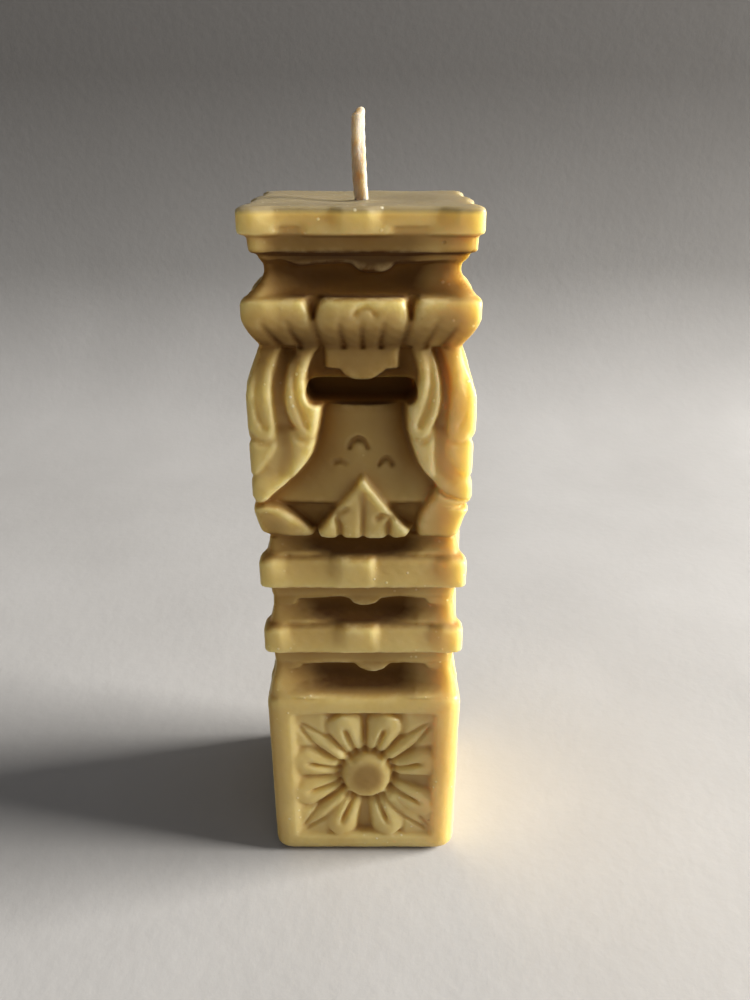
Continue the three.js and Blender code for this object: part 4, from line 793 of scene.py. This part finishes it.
def build_wick(material):
    free_start = WICK_TOP - WICK_FREE - WICK_LAP
    hidden = np.arange(WICK_FOOT, free_start - WICK_CELL, WICK_HIDDEN_CELL)
    shown = np.arange(free_start, WICK_TOP + 2 * WICK_CELL, WICK_CELL)
    zs = np.concatenate(([WICK_FOOT - WICK_SKIN], hidden, shown))
    side = np.arange(-WICK_STEPS, WICK_STEPS + 1) * WICK_CELL
    xs, ys = side - WICK_GRID_SHIFT, side
    x, y, z = xs[:, None, None], ys[None, :, None], zs[None, None, :]
    free = np.clip((z - (WICK_TOP - WICK_FREE)) / WICK_FREE, 0, 1)
    bend = np.sin(WICK_LEAN_TURN * free)
    turn = PLAIT_TURN * free
    field = None
    for strand in range(STRANDS):
        phase = 2 * math.pi * ((WICK_TOP - z) / PLAIT_PITCH + strand / STRANDS) + PLAIT_PHASE
        wide, deep = PLAIT_WIDE * np.sin(phase), PLAIT_DEEP * np.sin(2 * phase)
        middle_x = -WICK_LEAN * bend + wide * np.cos(turn) - deep * np.sin(turn)
        middle_y = WICK_BACK * bend + wide * np.sin(turn) + deep * np.cos(turn)
        thick = STRAND_RADIUS * (1 + STRAND_SWELL * np.sin(STRAND_SWELL_RATE * z + strand))
        end = WICK_TOP - STRAND_GAP - STRAND_ENDS[strand] - STRAND_RADIUS
        over = np.maximum(z - end, 0)
        strand_field = np.sqrt((x - middle_x) ** 2 + (y - middle_y) ** 2 + over ** 2) - thick
        field = strand_field if field is None else -soft_max(-field, -strand_field, STRAND_SOFT)
    field = np.maximum(field, np.maximum(z - WICK_TOP + WICK_CLEARANCE, WICK_FOOT - z))
    vertices, quads = surface_nets(field, xs, ys, zs)
    return mesh_piece("wick_plait", vertices, quads, material)


class Nodes:
    """A short way to lay out a material's nodes."""

    def __init__(self, name):
        self.material = bpy.data.materials.new(name)
        self.material.use_nodes = True
        self.tree = self.material.node_tree
        self.shader = self.tree.nodes["Principled BSDF"]
        self.place = self.add("ShaderNodeTexCoord").outputs["Object"]

    def add(self, kind, inputs=None, **settings):
        node = self.tree.nodes.new(kind)
        for key, value in settings.items():
            setattr(node, key, value)
        for key, value in (inputs or {}).items():
            self.feed(node.inputs[key], value)
        return node

    def feed(self, socket, value):
        if isinstance(value, bpy.types.NodeSocket):
            self.tree.links.new(value, socket)
        else:
            socket.default_value = value

    def noise(self, scale, detail=3.0, roughness=0.55, place=None):
        return self.add("ShaderNodeTexNoise", {
            "Vector": place or self.place, "Scale": scale, "Detail": detail,
            "Roughness": roughness}).outputs["Fac"]

    def ramp(self, value, low, high, out_low=0.0, out_high=1.0):
        return self.add("ShaderNodeMapRange", {
            "Value": value, "From Min": low, "From Max": high, "To Min": out_low,
            "To Max": out_high}).outputs[0]

    def mix(self, share, a, b):
        node = self.add("ShaderNodeMix", data_type="RGBA")
        self.feed(node.inputs["Factor"], share)
        self.feed(node.inputs[6], a)
        self.feed(node.inputs[7], b)
        return node.outputs[2]

    def math(self, kind, a, b):
        node = self.add("ShaderNodeMath", operation=kind)
        self.feed(node.inputs[0], a)
        self.feed(node.inputs[1], b)
        return node.outputs[0]

    def cells(self, scale):
        """Distance to the nearest point of a scattered set."""
        return self.add("ShaderNodeTexVoronoi", {
            "Vector": self.place, "Scale": scale, "Randomness": 1.0}).outputs["Distance"]

    def bump(self, height, strength, distance, below=None):
        node = self.add("ShaderNodeBump", {
            "Height": height, "Strength": strength, "Distance": distance})
        if below is not None:
            self.feed(node.inputs["Normal"], below)
        return node.outputs["Normal"]


def beeswax():
    """Honey wax: bloom where proud; painted shade in creases and where sunk, also rougher there;
    painted shade and a painted grey reflection on the poured top.
    """
    nodes = Nodes("beeswax_honey")
    proud = nodes.add("ShaderNodeAttribute", attribute_name="proud").outputs["Fac"]
    mottle = nodes.ramp(nodes.noise(45, 4.0), 0.35, 0.65)
    colour = nodes.mix(mottle, HONEY, PALE_HONEY)
    # sunk holds the painted shade, and the darkened boss
    sunk = nodes.add("ShaderNodeAttribute", attribute_name="sunk").outputs["Fac"]
    # Painted shade: warm brown as the hollows deepen, near black in the deepest
    colour = nodes.mix(nodes.ramp(sunk, 0.05, 0.5, 0.0, 0.5), colour, WARM_PAINTED_SHADE)
    deep = nodes.math("POWER", sunk, 1.6)
    colour = nodes.mix(nodes.ramp(deep, 0.0, 0.8, 0.0, 0.97), colour, DEEP_PAINTED_SHADE)
    # Painted shade in creases, where a vertex lies below the blurred relief
    colour = nodes.mix(nodes.ramp(proud, 0.05, -0.9, 0.0, 0.5), colour, CREASE_PAINTED_SHADE)
    bloom = nodes.math("MULTIPLY", nodes.ramp(proud, 0.15, 0.9, 0.0, 0.45),
                       nodes.ramp(nodes.noise(240), 0.4, 0.6))
    colour = nodes.mix(bloom, colour, BLOOM_PALE)
    bubbles = nodes.cells(150.0)
    rare = nodes.ramp(nodes.noise(31, 0.0), 0.60, 0.66)
    pits = nodes.math("MULTIPLY", nodes.ramp(bubbles, 0.075, 0.03), rare)
    colour = nodes.mix(nodes.math("MULTIPLY", pits, 0.55), colour, PIT_BROWN)
    # Painted shade and a painted grey reflection on the poured top
    height = nodes.add("ShaderNodeSeparateXYZ", {"Vector": nodes.place}).outputs["Z"]
    top_shade = nodes.ramp(height, (TOP - TOP_SHADE_START) * MM, (TOP - TOP_SHADE_FULL) * MM, 0.0, 0.8)
    colour = nodes.mix(top_shade, colour, TOP_SHADE_AND_REFLECTION)
    crumbs = nodes.cells(330.0)
    patches = nodes.ramp(nodes.noise(38, 2.0), 0.48, 0.60)
    crumb = nodes.math("MULTIPLY", nodes.ramp(crumbs, 0.15, 0.06), patches)
    crumb = nodes.math("MULTIPLY", crumb, nodes.ramp(sunk, 0.2, 0.5, 1.0, 0.0))
    colour = nodes.mix(nodes.math("MULTIPLY", crumb, 0.55), colour, CRUMB_PALE)
    nodes.feed(nodes.shader.inputs["Base Color"], colour)
    rough = nodes.math("ADD", nodes.ramp(nodes.noise(70, 4.0), 0.3, 0.7, 0.38, 0.54),
                       nodes.ramp(nodes.noise(900, 2.0), 0.3, 0.7, -0.05, 0.05))
    rough = nodes.math("ADD", rough, nodes.ramp(sunk, 0.2, 0.9, 0.0, 0.38))
    nodes.feed(nodes.shader.inputs["Roughness"], rough)
    waves = nodes.bump(nodes.noise(120, 3.0), 0.25, 0.0006)
    grain = nodes.bump(nodes.noise(900, 3.0, 0.6), 0.16, 0.00025, waves)
    marks = nodes.math("SUBTRACT", nodes.math("MULTIPLY", crumb, 0.6), pits)
    nodes.feed(nodes.shader.inputs["Normal"], nodes.bump(marks, 0.6, 0.0004, grain))
    nodes.shader.inputs["IOR"].default_value = 1.44
    nodes.shader.inputs["Subsurface Weight"].default_value = 0.85
    nodes.shader.inputs["Subsurface Radius"].default_value = (1.0, 0.92, 0.58)
    nodes.shader.inputs["Subsurface Scale"].default_value = 0.010
    return nodes.material


def cotton():
    """Pale cotton with long fibres and waxed patches."""
    nodes = Nodes("waxed_cotton")
    stretched = nodes.add("ShaderNodeMapping", {
        "Vector": nodes.place, "Scale": (1.0, 1.0, 0.16), "Rotation": (0.0, 0.35, 0.0)}).outputs[0]
    fibre = nodes.noise(3200, 3.0, 0.6, stretched)
    colour = nodes.mix(nodes.ramp(fibre, 0.35, 0.65), COTTON_DARK, COTTON_PALE)
    waxed = nodes.ramp(nodes.noise(420, 2.0), 0.52, 0.66, 0.0, 0.6)
    colour = nodes.mix(waxed, colour, COTTON_WAXED)
    nodes.feed(nodes.shader.inputs["Base Color"], colour)
    nodes.feed(nodes.shader.inputs["Roughness"], nodes.ramp(nodes.noise(800), 0.3, 0.7, 0.42, 0.7))
    nodes.feed(nodes.shader.inputs["Normal"], nodes.bump(fibre, 0.55, 0.0002))
    nodes.shader.inputs["Subsurface Weight"].default_value = 1.0
    nodes.shader.inputs["Subsurface Radius"].default_value = (1.0, 0.8, 0.5)
    nodes.shader.inputs["Subsurface Scale"].default_value = 0.005
    return nodes.material


def paper():
    nodes = Nodes("pale_paper")
    pale = nodes.mix(nodes.ramp(nodes.noise(14, 5.0), 0.3, 0.7), PAPER_DARK, PAPER_PALE)
    height = nodes.add("ShaderNodeSeparateXYZ", {"Vector": nodes.place}).outputs["Z"]
    # Painted shade: darker going up the wall
    colour = nodes.mix(nodes.ramp(height, 0.02, 0.22), pale, PAPER_PAINTED_SHADE)
    nodes.feed(nodes.shader.inputs["Base Color"], colour)
    nodes.feed(nodes.shader.inputs["Roughness"], nodes.ramp(nodes.noise(60), 0.3, 0.7, 0.85, 0.95))
    nodes.feed(nodes.shader.inputs["Normal"], nodes.bump(nodes.noise(220, 5.0), 0.18, 0.0006))
    return nodes.material


def build_sweep():
    """Floor that curves up into a wall behind the candle."""
    turn = [(SWEEP_TURN_START + SWEEP_TURN_RADIUS * math.sin(a),
             SWEEP_TURN_RADIUS * (1 - math.cos(a)))
            for a in np.linspace(0, math.pi / 2, SWEEP_TURN_STEPS)]
    profile = [(SWEEP_NEAR, 0.0), *turn, (SWEEP_TURN_START + SWEEP_TURN_RADIUS, SWEEP_HIGH)]
    vertices = np.array([(x, y, z) for y, z in profile for x in (-SWEEP_HALF, SWEEP_HALF)])
    quads = np.array([(2 * i, 2 * i + 1, 2 * i + 3, 2 * i + 2) for i in range(len(profile) - 1)])
    sweep = mesh_piece("sweep", vertices, quads, paper())


def area_light(name, place, aim, size, power, colour):
    data = bpy.data.lights.new(name, "AREA")
    data.shape, data.size, data.energy, data.color = "SQUARE", size, power, colour
    lamp = bpy.data.objects.new(name, data)
    lamp.location = place
    bpy.context.scene.collection.objects.link(lamp)
    direction = np.array(aim) - np.array(place)
    flat = math.hypot(direction[0], direction[1])
    turn = math.atan2(direction[1], direction[0]) - math.pi / 2
    lamp.rotation_euler = (math.atan2(flat, -direction[2]), 0, turn)


def build_light():
    area_light("window", place=(2.33, 0.0, 0.97), aim=(0, 0, 0.07), size=1.1, power=152.0,
               colour=(1.0, 0.975, 0.93))
    area_light("front_fill", place=(0.25, -0.8, 0.45), aim=(0, 0, 0.08), size=0.6, power=0.2,
               colour=(0.98, 0.98, 1.0))
    world = bpy.data.worlds.new("soft_room")
    world.use_nodes = True
    world.node_tree.nodes["Background"].inputs["Color"].default_value = (0.93, 0.95, 1.0, 1)
    world.node_tree.nodes["Background"].inputs["Strength"].default_value = 0.18
    bpy.context.scene.world = world


def build_camera():
    data = bpy.data.cameras.new("camera")
    data.sensor_fit, data.sensor_height, data.lens = "VERTICAL", CAMERA_SENSOR, CAMERA_LENS
    data.clip_start = 0.01
    camera = bpy.data.objects.new("camera", data)
    camera.location = [place * MM for place in CAMERA_PLACE]
    camera.rotation_euler = (math.radians(90 - CAMERA_DIP), 0, 0)
    bpy.context.scene.collection.objects.link(camera)
    bpy.context.scene.camera = camera


build_camera()
build_sweep()
build_light()
bpy.context.scene.view_settings.view_transform = "Standard"
bpy.context.scene.view_settings.look = "Medium High Contrast"

wax = build_wax(beeswax())
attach(wax, "root")
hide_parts("wax_body")
wick = build_wick(cotton())
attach(wick, "root")
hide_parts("wick")
